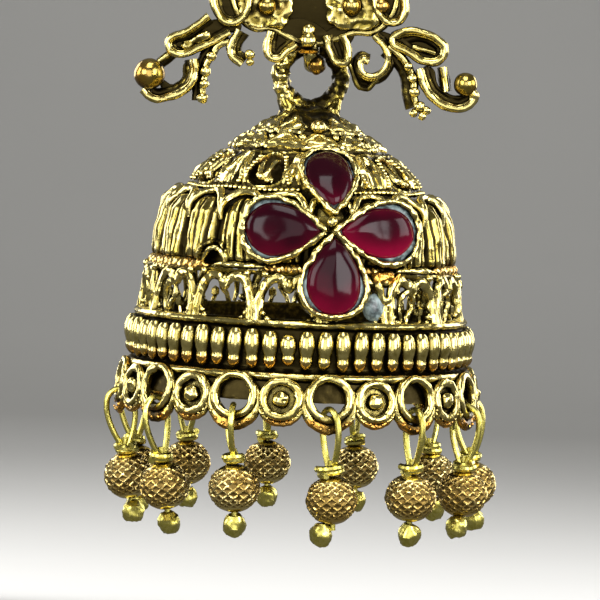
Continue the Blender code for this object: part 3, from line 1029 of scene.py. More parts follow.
def make_ropes():
    """Rope round the foot of the ribs, with a plain bar between its lengths and a lens over each opening."""
    step = FULL_TURN / FOOT_OPENINGS
    lens = ((-5.6, 13.15), (-4.2, 12.6), (-1.6, 12.18), (1.6, 12.18), (4.2, 12.6), (5.6, 13.15))
    bar = [(1 + 19.5 * k / 6, ROPE_DEPTH - 0.12) for k in range(7)]
    ropes, bars = [], []
    for i in range(FOOT_OPENINGS):
        opening = FOOT_OPENING_TURN + step * i
        ropes.append(rope(opening - step + 20, opening - 2))
        bars.append(wall_wire(opening, bar, ROPE_RADIUS + 0.05, 0.23, 10, (0.4, 0.9, 1, 1, 1, 0.9, 0.4)))
        bars.append(wall_wire(opening, lens, ROPE_RADIUS - 0.02, 0.17, 8, (0.6, 1, 1.2, 1.2, 1, 0.6)))
    cast("rib_foot_rope", joined(ropes), warmth=0.7, patina=0.12, gain=4.0)
    cast("rib_foot_bars", roughen(joined(bars), 0.5, 0.06))


def arch_bar(centre):
    """A bar bent to a cusp over a window, standing out a little towards its feet."""
    half = ((10.9, 16.9), (10.6, 16.0), (9.9, 15.1), (8.3, 14.35), (5.6, 13.96), (2.8, 14.05), (1.2, 14.4))
    line = [(-across, depth) for across, depth in half] + [(0.0, 14.65)] + list(reversed(half))
    points = [
        on_wall(centre + across, ARCH_RADIUS + 0.22 * (depth - 15.2) / 1.5, depth) for across, depth in line
    ]
    radii = (1.1, 1, 1, 1, 1.05, 1, 0.9, 1.0, 0.9, 1, 1.05, 1, 1, 1, 1.1)
    return tube(points, ARCH_WIRE, 10, radii=radii)


def make_arches():
    """Pierced arches: a cusped bar over each window, granulated feet, and curled leaves in the side ones."""
    step = FULL_TURN / ARCHES
    heap = (
        # depth, places across
        (16.80, (-4.6, -2.3, 0, 2.3, 4.6)),
        (16.40, (-3.2, -1.1, 1.1, 3.2)),
        (16.02, (-1.7, 0, 1.7)),
        (15.6, (0,)),
    )
    leaf = ((-5.0, 16.7), (-6.0, 15.8), (-4.6, 14.9), (-1.2, 14.75), (0.6, 15.5), (-1.6, 16.2), (-2.6, 16.75))
    stem = ((3.4, 16.2), (4.4, 16.8))
    bars, feet, curls = [], [], []
    for i in range(ARCHES):
        centre = ARCH_TURN + step * (i + 0.5)
        bars.append(arch_bar(centre))
        bars.append(ball(0.38, on_wall(centre, ARCH_RADIUS - 0.05, 14.42), 10, 8, (1, 1, 1.35)))
        edge = centre + step / 2
        for across in (-3.2, 3.2):
            feet.append(ball(0.26, on_wall(edge + across, ARCH_RADIUS, 13.72), 8, 6))
        for depth, places in heap:
            for across in places:
                size = 0.23 * chance.uniform(0.75, 1.15)
                feet.append(ball(size, on_wall(edge + across, ARCH_RADIUS + 0.12, depth), 8, 6))
        facing = (centre + BELL_TURN + 180) % FULL_TURN - 180
        if OPEN_WINDOWS[0] < facing < OPEN_WINDOWS[1]:
            continue
        side = 1 if centre > 0 else -1
        curl, tail = ([(across * side, depth) for across, depth in line] for line in (leaf, stem))
        curls.append(wall_wire(centre, curl, ARCH_RADIUS - 0.05, 0.20, 8, (0.8, 1, 1.1, 1.1, 1, 0.9, 0.8)))
        curls.append(ball(0.34, on_wall(centre + 3.4 * side, ARCH_RADIUS, 16.0), 4, 3, (1, 1, 1.25)))
        curls.append(wall_wire(centre, tail, ARCH_RADIUS - 0.05, 0.16))
    for name, shapes, rough, patina in (
        ("arch_bars", bars, 0.10, 0.46),
        ("arch_feet", feet, 0.06, 0.48),
        ("arch_leaves", curls, 0.08, 0.56),
    ):
        cast(name, roughen(joined(shapes), 0.7, rough, 4.0, 2), patina=patina, gain=4.0)

    rail = [(10.62, -13.55), (10.98, -13.50), (11.10, -13.62), (11.02, -13.78), (10.62, -13.75)]
    cast("arch_rail", roughen(spun(rail, 240, closed=True), 0.8, 0.06), patina=0.5)

    chevron = ((15.6, 13.35), (17.6, 14.3), (20.2, 15.3), (22.8, 14.3), (25.6, 13.4))
    bud = ball(1.0, (0, 0, 0), 24, 16, (0.85, 0.62, 0.35))
    shapes = [
        wall_wire(0, chevron, ARCH_RADIUS + 0.25, 0.27, 10, (0.8, 1.1, 1.0, 1.1, 0.8)),
        moved(bud, around(20.6, ARCH_RADIUS + 0.05, 13.75)),
    ]
    shape = roughen(joined(shapes), 0.4, 0.09, 8.0)
    cast("arch_chevron", shape, warmth=share_of((14.4 + corners_of(shape)[:, 2]) * 1.6))


def make_barrels():
    """Barrel beads standing round the band between the ridges, warmer towards their lower tips and darker at
    both tips.
    """
    barrels = []
    for i in range(BARRELS):
        shape = spun([(radius, height) for height, radius in BARREL_LINE], 12)
        grow = chance.uniform(0.98, 1.08) * (0.8 if i == SHORT_BARREL else 1)
        azimuth = FULL_TURN * (i + 0.72) / BARRELS
        spot = on_wall(azimuth, BARREL_SEAT, BARREL_DEPTH + chance.uniform(-0.04, 0.04))
        turn = Matrix.Rotation(math.radians(azimuth), 4, "Z")
        tilt = Matrix.Rotation(math.radians(chance.uniform(-2.5, 2.5)), 4, "Y")
        size = Matrix.Diagonal((1.0, 1.0, grow, 1.0))
        barrels.append(moved(shape, Matrix.Translation(spot) @ turn @ tilt @ size))
    shape = joined(barrels)
    low = -corners_of(shape)[:, 2] - BARREL_DEPTH
    warmth = 0.8 * share_of((low - 0.3) / 0.6)
    cast("barrel_beads", shape, warmth=warmth, patina=0.3 * share_of((np.abs(low) - 0.95) / 0.35))


# ---------------------------------------------------------------- skirt


def flat_ring(inner, outer, thick, drop=0.0):
    """A flat-topped ring with soft edges, its outer edge hung lower than its hole by drop."""
    middle, half = (inner + outer) / 2, (outer - inner) / 2
    section = []
    for turn in (math.tau * (i + 0.5) / 14 for i in range(14)):
        rise = math.copysign(abs(math.sin(turn)) ** 0.6, math.sin(turn))
        section.append((middle + half * math.cos(turn), thick * rise))
    shape = spun(section, 40, closed=True)
    for corner in shape.verts:
        share = (corner.co.xy.length - inner) / (outer - inner)
        corner.co.y -= drop * share
    return shape


def grains_along(count, start, step, reach, low, size, height):
    """Grains round the lower edge of a ring, from the angle start on, in degrees."""
    grains = []
    for turn in (math.radians(start + step * k) for k in range(count)):
        grains.append(ball(size, (reach * math.cos(turn), reach * math.sin(turn) - low, height)))
    return grains


def make_skirt():
    """Eyes for the drops, and between them discs with a granule, all with raised rims."""
    eyes, discs = [], []
    plate = [(0, -0.34), (1.45, -0.34), (1.48, -0.22), (1.2, -0.16), (0, -0.16)]
    for i in range(DROPS):
        seat = around(FULL_TURN * i / DROPS, SKIRT_RADIUS, EYE_DEPTH, SKIRT_LEAN)
        eye = [flat_ring(1.12, 1.70, 0.36)]
        eye.append(moved(flat_ring(1.54, 1.98, 0.24, drop=0.34), Matrix.Translation((0, -0.12, -0.12))))
        eye += grains_along(7, -150, 20, 1.82, 0.30, 0.13, 0.12)
        eyes += [moved(shape, seat) for shape in eye]
        seat = around(FULL_TURN * (i + 0.5) / DROPS, SKIRT_RADIUS + 0.05, DISC_DEPTH, SKIRT_LEAN)
        disc = [spun(plate, 40), flat_ring(0.94, 1.54, 0.30)]
        disc.append(moved(flat_ring(1.38, 1.68, 0.20, drop=0.14), Matrix.Translation((0, -0.06, -0.10))))
        disc.append(ball(0.60, (0, 0, 0.0), 24, 16, (1, 1, 0.80)))
        disc += grains_along(9, -160, 17.5, 1.50, 0.1, 0.12, 0.10)
        discs += [moved(shape, seat) for shape in disc]
    for name, shapes in (("skirt_eyes", eyes), ("skirt_discs", discs)):
        shape = roughen(joined(shapes), 0.45, 0.08)
        # Darker and warmer towards the bottom of the skirt.
        low = -corners_of(shape)[:, 2] - DARKER_FROM
        patina = 0.4 * share_of(low / 0.8)
        cast(name, shape, warmth=np.clip(low / 0.6, 0, 0.85), patina=patina, gain=2.5)


# ---------------------------------------------------------------- flower


def pear(length, width, point=1.0):
    """A pear outline with its tip at +X, centred along its length. A lower point makes the tip blunter."""
    outline = []
    for angle in (math.tau * i / PEAR_STEPS for i in range(PEAR_STEPS)):
        across = math.sin(angle) * abs(math.sin(angle / 2)) ** point / PEAR_WIDEST**point
        outline.append((length / 2 * math.cos(angle), width / 2 * across))
    return outline


def petal_seat(azimuth, depth, radius, lean, tip):
    """The matrix of a petal's base: X to the tip, Z straight out of the bell."""
    azimuth = math.radians(azimuth)
    lean = math.radians(lean)
    level = Vector((math.sin(azimuth), -math.cos(azimuth), 0))
    across = Vector((math.cos(azimuth), math.sin(azimuth), 0))
    outward = level * math.cos(lean) + Vector((0, 0, math.sin(lean)))
    along = across * tip[0] + outward.cross(across) * tip[1]
    turn = Matrix((along, outward.cross(along), outward)).transposed().to_4x4()
    return Matrix.Translation(level * radius + Vector((0, 0, -depth))) @ turn


def raised(shape, face, kept=False):
    """The face's copy, joined to its rim by new sides. The face itself goes, unless it is kept."""
    made = bmesh.ops.extrude_face_region(shape, geom=[face], use_keep_orig=True)
    copy = next(item for item in made["geom"] if isinstance(item, bmesh.types.BMFace))
    if not kept:
        bmesh.ops.delete(shape, geom=[face], context="FACES_ONLY")
    return copy


def pear_dome(length, width, levels, point=1.0):
    """A pear outline raised through levels of (share of the outline, height), closed below and above."""
    shape = bmesh.new()
    share, height = levels[0]
    outline = pear(length, width, point)
    top = shape.faces.new([shape.verts.new((x * share, y * share, height)) for x, y in outline])
    for level, (next_share, next_height) in enumerate(levels[1:]):
        top = raised(shape, top, kept=level == 0)
        step = next_share / share
        bmesh.ops.scale(shape, vec=(step, step, 1), verts=top.verts)
        bmesh.ops.translate(shape, vec=(0, 0, next_height - height), verts=top.verts)
        share, height = next_share, next_height
    bmesh.ops.recalc_face_normals(shape, faces=shape.faces)
    return shape


def pear_wall(length, width):
    """The standing wall of a setting, with a floor inside."""
    tall = BEZEL_TOP - 0.15 - BEZEL_FOOT
    shape = bmesh.new()
    outline = shape.faces.new([shape.verts.new((x, y, BEZEL_FOOT)) for x, y in pear(length, width)])
    top = raised(shape, outline, kept=True)
    bmesh.ops.translate(shape, vec=(0, 0, tall), verts=top.verts)
    bmesh.ops.inset_region(shape, faces=[top], thickness=BEZEL_WIDTH, use_even_offset=True)
    floor = raised(shape, top)
    bmesh.ops.translate(shape, vec=(0, 0, -tall * 0.7), verts=floor.verts)
    bmesh.ops.recalc_face_normals(shape, faces=shape.faces)
    return shape


def make_stone(name, length, width, seat, seed):
    """A domed pear stone, its face a little uneven, glowing at its rim and its lower side."""
    levels = [(1, STONE_FOOT), (1.0, STONE_GIRDLE)]
    for k in range(1, STONE_STEPS):
        angle = math.pi / 2 * k / STONE_STEPS
        rise = (STONE_TOP - STONE_GIRDLE) * math.sin(angle)
        levels.append((math.cos(angle) ** 0.95, STONE_GIRDLE + rise))
    levels.append((0.04, STONE_TOP))
    shorter, narrower, point, shift = STONE_FIT[name]
    stone = pear_dome(length - shorter, width - narrower, levels, point)
    flat = corners_of(stone)
    rim = share_of(np.hypot(flat[:, 0] / (length / 2 - 0.5), flat[:, 1] / (width / 2 - 0.5))) ** 2
    moved(roughen(stone, 1.7, 0.09, seed, 1), seat @ Matrix.Translation((shift, 0, 0)))
    height = corners_of(stone)[:, 2]
    lower = (height.max() - height) / (height.max() - height.min())
    glow = STONE_GLOW[name] * (0.35 * rim + 0.75 * lower**1.5)
    finish_piece("cabochon_" + name, stone, "bell", RUBY, BELL, ["ruby_" + name], crease=60, glow=glow)


def make_flower():
    """Four pear stones cemented into settings whose tips meet under one granule."""
    walls, rims, fillets = [], [], []
    for name, length, width, *where in PETALS:
        seat = petal_seat(*where)
        walls.append(moved(pear_wall(length - 0.2, width - 0.2), seat))
        outline = [(x, y, BEZEL_TOP - 0.08) for x, y in pear(length - 0.38, width - 0.38)]
        rims.append(moved(tube(outline[::2], BEZEL_WIRE, 12, closed=True), seat))
        cement = pear_dome(length - 0.62, width - 0.62, CEMENT_LEVELS)
        bmesh.ops.triangulate(cement, faces=[face for face in cement.faces if len(face.verts) > 4])
        fillets.append(moved(roughen(cement, 0.6, 0.10, len(fillets)), seat))
        make_stone(name, length, width, seat, 5.0 * len(fillets))
    cast("flower_settings", roughen(joined(walls), 0.5, 0.04))
    cast("flower_rims", roughen(joined(rims), 0.55, 0.14, 3.0, 1), gain=1.5)
    blob = moved(ball(0.85, (0, 0, 0), 20, 14, (1.0, 1.15, 0.55)), around(*CEMENT_BLOB))
    fillets.append(roughen(blob, 0.6, 0.08))
    finish_piece("flower_cement", joined(fillets), "bell", CEMENT, BELL)
    cast("flower_granule", roughen(ball(0.38, on_wall(-0.6, 11.42, 9.95), 16, 12), 0.3, 0.05))


# ---------------------------------------------------------------- drops


def drop_seat(i):
    """The matrix of a drop: its origin at the loop's top. A loop that leans in slides out on its eye."""
    azimuth = math.tau * i / DROPS
    inwards, across = (math.radians(lean) for lean in DROP_LEANS[i])
    facing = azimuth + math.radians(BELL_TURN)
    inwards -= across * math.sin(facing)
    across *= math.cos(facing)
    out = LOOP_RADIUS + LOOP_SLIDE * inwards
    top = Matrix.Rotation(azimuth, 4, "Z") @ Matrix.Translation((0, -out, -LOOP_TOP_DEPTH))
    return top @ Matrix.Rotation(-across, 4, "Y") @ Matrix.Rotation(inwards, 4, "X")


def cut_bead():
    """An oblate bead whose sides are cut to a lattice of small diamonds, its ends left smooth."""
    shape = bmesh.new()
    bmesh.ops.create_uvsphere(shape, u_segments=112, v_segments=64, radius=1.0)
    patina = []
    for corner in shape.verts:
        x, y, z = corner.co
        rise = math.asin(max(-1.0, min(1.0, z)))
        across = 7 * math.atan2(y, x)
        along = 11.5 * math.tan(rise * 0.72)
        ridge = min(abs(math.sin(across + along)), abs(math.sin(across - along)))
        cut = min(1.0, max(0.0, (0.92 - abs(rise)) / 0.12))
        height = 1 + cut * (0.03 - 0.085 * min(1.0, ridge / 0.5))
        patina.append(cut * (0.85 * min(1.0, max(0.0, (ridge - 0.14) / 0.3)) - 0.15) + 0.12)
        corner.co = Vector((x * BEAD_RADIUS, y * BEAD_RADIUS, z * BEAD_HALF)) * height
    return roughen(shape, 0.7, 0.05, 0.0, 1), np.array(patina)


def make_loop(i, foot):
    """The wire's loop in its eye, closing at its foot."""
    squeeze = foot / (LOOP_FOOT_DEPTH - LOOP_TOP_DEPTH)
    bow = LOOP_BOWS.get(i, 0.0)
    side = [
        (bow * math.sin(math.pi * down / LOOP_HALF[-1][1]), across, -down * squeeze)
        for across, down in LOOP_HALF
    ]
    loop = [(bend * 0.3, -across, up) for bend, across, up in reversed(side)] + [(0, 0, 0)] + side
    twist = Matrix.Rotation(math.radians(LOOP_TWISTS.get(i, 0)), 4, "Z")
    return moved(tube(loop, WIRE, 10, smooth=5), twist)


def make_wrap(i, foot, draw):
    """The wire's end, wound a little over two turns round its own neck."""
    phase = draw.uniform(0, math.tau)
    turns = []
    for k in range(WRAP_STEPS + 1):
        angle = phase + math.tau * k / 10
        flare = 0.16 if k in (0, WRAP_STEPS) else 0
        spread = (WRAP_SPREAD if i else FRONT_WRAP_SPREAD) + 0.05 * math.sin(angle * 0.5) + flare
        up = -foot - WRAP_TOP - WRAP_LENGTH * k / WRAP_STEPS
        turns.append((spread * math.cos(angle), spread * math.sin(angle), up))
    slant = Matrix.Rotation(math.radians(draw.choice((-1, 1)) * draw.uniform(6, 11)), 4, "Y")
    collar = Matrix.Translation((0, 0, -foot - (WRAP_TOP + WRAP_LENGTH / 2)))
    return moved(tube(turns, WIRE * 1.15, 8, smooth=3), collar @ slant @ collar.inverted())


def make_pellet(i, bead_foot, draw):
    """The wire's crimped end under the bead."""
    pellet = spun(PELLET_LINE, 12)
    bmesh.ops.subdivide_edges(pellet, edges=pellet.edges, cuts=1, use_grid_fill=True)
    roughen(pellet, 0.55, 0.13, i * 3.1)
    lean = Matrix.Rotation(math.radians(draw.uniform(-PELLET_LEAN, PELLET_LEAN)), 4, "X")
    lean = lean @ Matrix.Rotation(math.radians(draw.uniform(-PELLET_LEAN, PELLET_LEAN)), 4, "Y")
    aside = PELLET_SHIFTS.get(i, 0.0)
    shift = draw.uniform(-0.08, 0.08) + aside
    up = bead_foot - 0.06 - PELLET_RADIUS + 0.35 * abs(aside)
    return moved(pellet, Matrix.Translation((shift, draw.uniform(-0.08, 0.08), up)) @ lean)


def make_drops():
    """Each drop is one wire, from its loop through wrap and bead to a crimped end, and its bead."""
    for i in range(DROPS):
        draw = random.Random(40 + i)
        seat = BELL @ drop_seat(i)
        lift = DROP_LIFTS.get(i, 0.0)
        foot = LOOP_FOOT_DEPTH - LOOP_TOP_DEPTH - lift
        bead_foot = -(BEAD_DEPTH + BEAD_HALF - LOOP_TOP_DEPTH) + lift
        low, high = bead_foot - 0.4, -foot + 0.2
        parts = [make_loop(i, foot), make_wrap(i, foot, draw)]
        parts.append(spun([(0, low), (WIRE, low), (WIRE, high), (0, high)], 12))
        parts.append(make_pellet(i, bead_foot, draw))
        finish_piece(f"pin_{i:02d}", joined(parts), "bell", BRASS, seat, [f"drop_pin_{i:02d}"], crease=35)
        bead, patina = cut_bead()
        middle = Matrix.Translation((0, 0, LOOP_TOP_DEPTH - BEAD_DEPTH + lift))
        place = seat @ (middle @ Matrix.Rotation(draw.uniform(0, 1), 4, "Z"))
        nodes = [f"drop_bead_{i:02d}"]
        finish_piece(f"cut_bead_{i:02d}", bead, "bell", ROSE, place, nodes, patina=patina)


make_walls()
make_ring()
make_crown_trim()
make_rib_crests()
make_ropes()
make_arches()
make_barrels()
make_skirt()
make_flower()
make_drops()


# ---------------------------------------------------------------- stud

# Middle lines of the cast strips, across and up from the ear post; each side was bent by hand
STRIPS = (
    # half width of the rim, how far the front is sunk, whether it closes, web to the left of its run, line
    (0.26, 0.0, False, -0.45, (
        (-8.2, -6.1), (-8.1, -6.95), (-8.4, -7.9), (-9.1, -8.5), (-10.0, -8.9), (-11.1, -9.0), (-11.8, -8.4),
    )),
    (0.24, 0.35, False, 0.2, ((-9.7, -5.5), (-10.8, -6.4))),
    (0.24, 0.05, False, 0.3, (
        (-7.4, -3.0), (-8.9, -4.2), (-10.1, -4.8), (-10.1, -5.4), (-9.6, -5.8), (-8.8, -5.75), (-7.9, -5.3),
        (-6.9, -4.8), (-5.8, -4.1),
    )),
    (0.28, 0.25, False, -0.4, (
        (-5.8, -4.7), (-6.6, -5.0), (-7.0, -5.7), (-7.4, -6.4), (-7.5, -7.1), (-7.6, -7.9), (-7.6, -9.0),
    )),
    (0.27, 0.1, False, 0.4, ((-5.2, -3.9), (-5.75, -5.0), (-5.6, -5.8), (-4.9, -6.3))),
    (0.24, 0.03, False, 0.4, (
        (-3.0, -3.9), (-3.2, -4.95), (-3.0, -5.7), (-2.4, -5.85), (-1.7, -5.25), (-1.1, -4.8),
    )),
    (0.26, 0.1, True, 0.3, (
        (-7.1, -1.4), (-6.9, -2.6), (-5.8, -3.5), (-4.9, -2.9), (-4.6, -1.4), (-5.2, -0.2), (-6.4, -0.2),
    )),
    (0.26, 0.0, False, 0.45, (
        (7.6, -6.1), (8.0, -7.3), (8.9, -8.3), (10.2, -8.8), (11.3, -8.5), (11.65, -7.9), (11.4, -7.5),
    )),
    (0.30, 0.3, False, 0.0, ((9.3, -5.9), (9.6, -7.6))),
    (0.26, 0.0, True, -0.4, (
        (6.0, -3.7), (7.6, -3.5), (8.9, -4.0), (9.4, -4.7), (9.1, -5.4), (8.0, -5.6), (6.7, -4.95),
        (5.6, -4.2),
    )),
    (0.18, 0.25, False, 0.0, ((7.1, -4.55), (8.7, -4.95))),
    (0.32, 0.25, False, -0.4, (
        (5.4, -4.6), (6.4, -5.4), (7.0, -6.3), (7.3, -7.3), (7.4, -8.1), (7.62, -8.75),
    )),
    (0.24, 0.0, False, 0.25, (
        (4.3, -3.9), (5.1, -4.7), (5.35, -5.5), (4.9, -6.5), (3.95, -6.75), (3.45, -6.2), (3.6, -5.6),
        (4.0, -5.75),
    )),
    (0.24, 0.05, False, 0.3, (
        (0.9, -4.1), (1.2, -5.1), (1.9, -5.95), (2.5, -5.85), (2.6, -5.1), (2.2, -4.0),
    )),
    (0.20, 0.45, False, 0.3, ((2.7, -6.0), (3.8, -7.7), (4.7, -6.95))),
    (0.26, 0.1, True, -0.3, (
        (6.4, -1.4), (6.35, -2.4), (5.8, -2.95), (4.8, -2.6), (4.3, -1.4), (4.8, -0.2), (5.9, -0.2),
    )),
)
WEB_FRONT = -1.25
WEBS = (
    # plates that close the curls behind their rims, painted dark as shade
    ((-8.6, -3.9), (-9.9, -4.9), (-9.6, -5.6), (-8.2, -5.3), (-6.4, -4.3), (-5.0, -3.6), (-6.5, -3.2)),
    ((6.1, -3.9), (7.6, -3.7), (9.0, -4.4), (9.1, -5.2), (8.0, -5.4), (6.8, -4.8), (5.2, -4.3), (4.6, -3.7)),
    (
        (-3.0, -3.7), (-3.1, -5.0), (-2.5, -5.7), (-1.7, -5.1), (-0.6, -4.9), (0.5, -4.9), (1.0, -4.4),
        (0.9, -3.6),
    ),
    ((0.9, -3.8), (1.2, -5.0), (2.0, -5.8), (2.6, -5.6), (2.6, -4.8), (2.9, -3.7)),
    ((2.6, -5.5), (3.0, -6.4), (3.8, -7.5), (4.5, -6.9), (3.9, -6.5), (3.3, -6.0)),
    ((-6.9, -1.4), (-6.7, -2.6), (-5.8, -3.3), (-5.0, -2.8), (-4.8, -1.4), (-5.3, -0.4), (-6.3, -0.4)),
    ((6.2, -1.4), (6.1, -2.4), (5.7, -2.8), (4.9, -2.4), (4.5, -1.4), (4.9, -0.4), (5.8, -0.4)),
    (
        (-10.6, -7.7), (-9.8, -8.6), (-8.7, -8.3), (-8.3, -7.2), (-8.5, -6.2), (-9.0, -6.4), (-9.1, -7.4),
        (-9.7, -7.9),
    ),
    (
        (10.9, -8.0), (10.0, -8.6), (8.9, -8.0), (8.1, -7.0), (7.9, -6.0), (8.6, -6.0), (8.9, -7.0),
        (9.9, -7.8),
    ),
)
STUD_GRAINS = (
    # across, up, radius, behind the front of the strips
    (-7.03, -5.84, 0.36, 0.2),
    (-7.43, -6.95, 0.40, 0.2),
    (-7.50, -7.80, 0.34, 0.2),
    (-7.57, -8.80, 0.38, 0.2),
    (6.80, -5.95, 0.34, 0.2),
    (7.15, -6.75, 0.36, 0.2),
    (7.35, -7.75, 0.36, 0.2),
    (7.75, -8.78, 0.40, 0.2),
    (8.25, -9.00, 0.30, 0.2),
    (7.35, -9.22, 0.32, 0.1),
    (7.95, -9.42, 0.30, 0.05),
    (-4.36, -5.60, 0.36, 0.3),
    (-4.32, -6.15, 0.28, 0.3),
    (-0.29, -3.75, 0.48, 0.2),
    (-0.29, -4.45, 0.60, 0.1),
)
STUD_BALLS = (
    # across, back, up, radius, segments, rings
    (-11.36, -1.625, -7.27, 1.10, 40, 28),
    (10.93, -1.625, -7.05, 0.84, 40, 28),
    (-3.29, -1.6, -2.16, 0.66, 28, 20),
    (2.64, -1.6, -1.88, 0.70, 28, 20),
    (4.75, -1.45, -1.8, 0.6, 24, 18),
)
PLATES = (
    (
        (-5.3, -1.4), (-5.2, -2.9), (-4.7, -3.55), (-3.2, -3.7), (-1.95, -3.45), (-1.5, -2.6), (-1.6, -1.2),
        (-2.2, 0.3), (-3.6, 0.9), (-4.8, 0.2),
    ),
    (
        (4.4, -1.4), (4.6, -2.7), (4.2, -3.4), (2.8, -3.6), (1.3, -3.3), (0.75, -2.4), (0.9, -1.2),
        (1.6, 0.3), (3.0, 0.9), (4.0, 0.2),
    ),
)
SIDE_PLATE = ((-9.3, -5.0), (-9.0, -5.4), (-8.2, -5.1), (-7.2, -4.4), (-7.6, -4.2), (-8.6, -4.6))
PLAQUE_HALF = (
    (0.0, 5.0),
    (2.0, 4.7),
    (3.8, 3.7),
    (5.2, 2.3),
    (5.9, 0.6),
    (6.1, -1.2),
    (5.5, -2.9),
    (4.5, -3.8),
    (3.0, -3.9),
    (1.6, -4.5),
    (0.0, -4.9),
)
HOOK_WIRE = 0.53
HOOK_LINE = (
    # back, up
    (-0.9, -4.6),
    (-0.85, -5.6),
    (-0.3, -6.05),
    (0.8, -6.05),
    (2.0, -5.9),
    (2.55, -4.7),
    (2.3, -3.2),
    (1.2, -2.45),
    (-0.85, -2.4),
)
POST_LINE = (
    # radius, back
    (0, -0.5),
    (1.62, -0.5),
    (1.70, -0.42),
    (1.70, -0.08),
    (1.62, 0),
    (0.46, 0),
    (0.40, 0.06),
    (0.40, 9.5),
    (0.32, 9.85),
    (0.18, 10),
    (0, 10),
)


def beside(line, distance):
    """The line moved sideways, to the left of its run."""
    shifted = []
    for i, (across, up) in enumerate(line):
        before, after = line[max(i - 1, 0)], line[min(i + 1, len(line) - 1)]
        run = Vector((after[0] - before[0], after[1] - before[1])).normalized()
        shifted.append((across - run.y * distance, up + run.x * distance))
    return shifted


def strip(line, half, front, back, closed, web):
    """A strip standing on edge, its middle line given across and up: a rounded rim in front, wider behind."""
    parts = []
    for sideways, width, near, far in (
        (0.0, half, front, front + 2 * half),
        (web * 0.3, half * 1.12, front + half * 0.8, back),
        (web, half * 1.45, (front + back) / 2 + 0.15, back),
    ):
        points = [(across, up, 0) for across, up in beside(line, sideways)]
        bar = tube(points, width, 10, closed, stretch=max(0.0, (far - near) / 2 - width))
        parts.append(moved(bar, Matrix.Translation((0, (near + far) / 2, 0)) @ STANDING))
    return joined(parts)


def make_strips():
    """The cast strips, bright on their rims, with painted shade at their sides and behind."""
    strips = [
        strip(line, half, SCROLL_FRONT + sunk, SCROLL_BACK + sunk / 4, closed, web)
        for half, sunk, closed, web, line in STRIPS
    ]
    strips += [slab(web, WEB_FRONT, SCROLL_BACK, 0.1) for web in WEBS]
    shape = roughen(joined(strips), 0.9, 0.07)
    shape.normal_update()
    back = corners_of(shape)[:, 1]
    facing = np.array([corner.normal.y for corner in shape.verts])
    # Painted shade: darker the further a surface lies behind the front, and on sides that do not face the
    # front.
    behind = np.clip((back - SCROLL_FRONT - 0.30) / 0.3, 0, 0.95)
    sides = 0.7 * share_of((facing + 0.62) / 0.4) * (back < SCROLL_BACK - 0.1)
    cast_on_stud("stud_strips", shape, ["stud_motif"], patina=np.clip(behind + sides, 0, 0.95))


def make_stud_grains():
    """The stalks' beads, and the collar and knob over the bell's ring, which are painted dark and warm as
    shade.
    """
    grains = [
        ball(radius, (across, SCROLL_FRONT + sunk, up), 16, 12)
        for across, up, radius, sunk in STUD_GRAINS
    ]
    collar = spun([(0, -0.2), (0.62, -0.22), (0.80, -0.02), (0.62, 0.16), (0, 0.2)], 24)
    grains.append(moved(collar, Matrix.Translation((-0.25, -1.5, -5.16))))
    grains.append(ball(0.62, (0.42, -1.0, -6.1), 20, 14, (1, 1, 1.15)))
    shape = roughen(joined(grains), 0.4, 0.07)
    places = corners_of(shape)
    # Painted shade: the collar and knob inside the bell's ring are darkened and warmed.
    hidden = (np.abs(places[:, 0]) < 1.3) & (places[:, 2] < -4.9)
    cast_on_stud("stud_grains", shape, patina=0.5 * hidden + 0.1, warmth=0.8 * hidden)


def make_stud_balls():
    """Balls at the ends of the outer strips and on the plaque, with painted shade at their sides."""
    balls = [ball(radius, spot, segments, rings) for *spot, radius, segments, rings in STUD_BALLS]
    shape = roughen(joined(balls), 0.9, 0.03)
    shape.normal_update()
    # Painted shade: darker where the surface faces left or right.
    aside = np.array([abs(corner.normal.x) for corner in shape.verts])
    cast_on_stud("stud_balls", shape, warmth=0.55, patina=0.25 + 0.35 * aside)


def make_plaque():
    """The plaque's dark ground, and the hammered plates and wire rim on it."""
    outline = list(PLAQUE_HALF) + [(-across, up) for across, up in reversed(PLAQUE_HALF[1:-1])]
    base = roughen(slab(outline, PLAQUE_FRONT, PLAQUE_BACK, 0.14), 1.0, 0.05)
    places = corners_of(base)
    patina = np.where(places[:, 2] < 0.5, 0.85, 0.35) * (places[:, 1] < PLAQUE_FRONT + 0.2)
    cast_on_stud("stud_base", base, patina=patina)

    plates = [slab(plate, PLAQUE_FRONT - 0.42, PLAQUE_FRONT + 0.1, 0.18) for plate in PLATES]
    plates.append(slab(SIDE_PLATE, -1.7, -1.1, 0.2))
    plates = [roughen(roughen(evened(plate, 0.14), 1.3, 0.22, 3.0), 0.4, 0.07, 1.0) for plate in plates]
    edge = [(across * 0.96, up * 0.96, 0) for across, up in outline]
    rim = moved(tube(edge, 0.26, 10, closed=True), Matrix.Translation((0, PLAQUE_FRONT, 0)) @ STANDING)
    plates.append(roughen(rim, 0.8, 0.06))
    cast_on_stud("stud_plaque", joined(plates), patina=0.16, warmth=0.35, gain=5.0)


def make_stud():
    """Strips, balls, beaded stalks, plaque, hook and post. The hidden upper part is left plain."""
    make_strips()
    make_stud_grains()
    make_stud_balls()
    make_plaque()
    hook = tube([(0, back, up) for back, up in HOOK_LINE], HOOK_WIRE, 16)
    cast_on_stud("stud_hook", roughen(hook, 0.6, 0.06))
    finish_piece("post", spun(POST_LINE, 40), "stud", STEEL, STANDING.inverted(), ["ear_post"])


# ---------------------------------------------------------------- studio

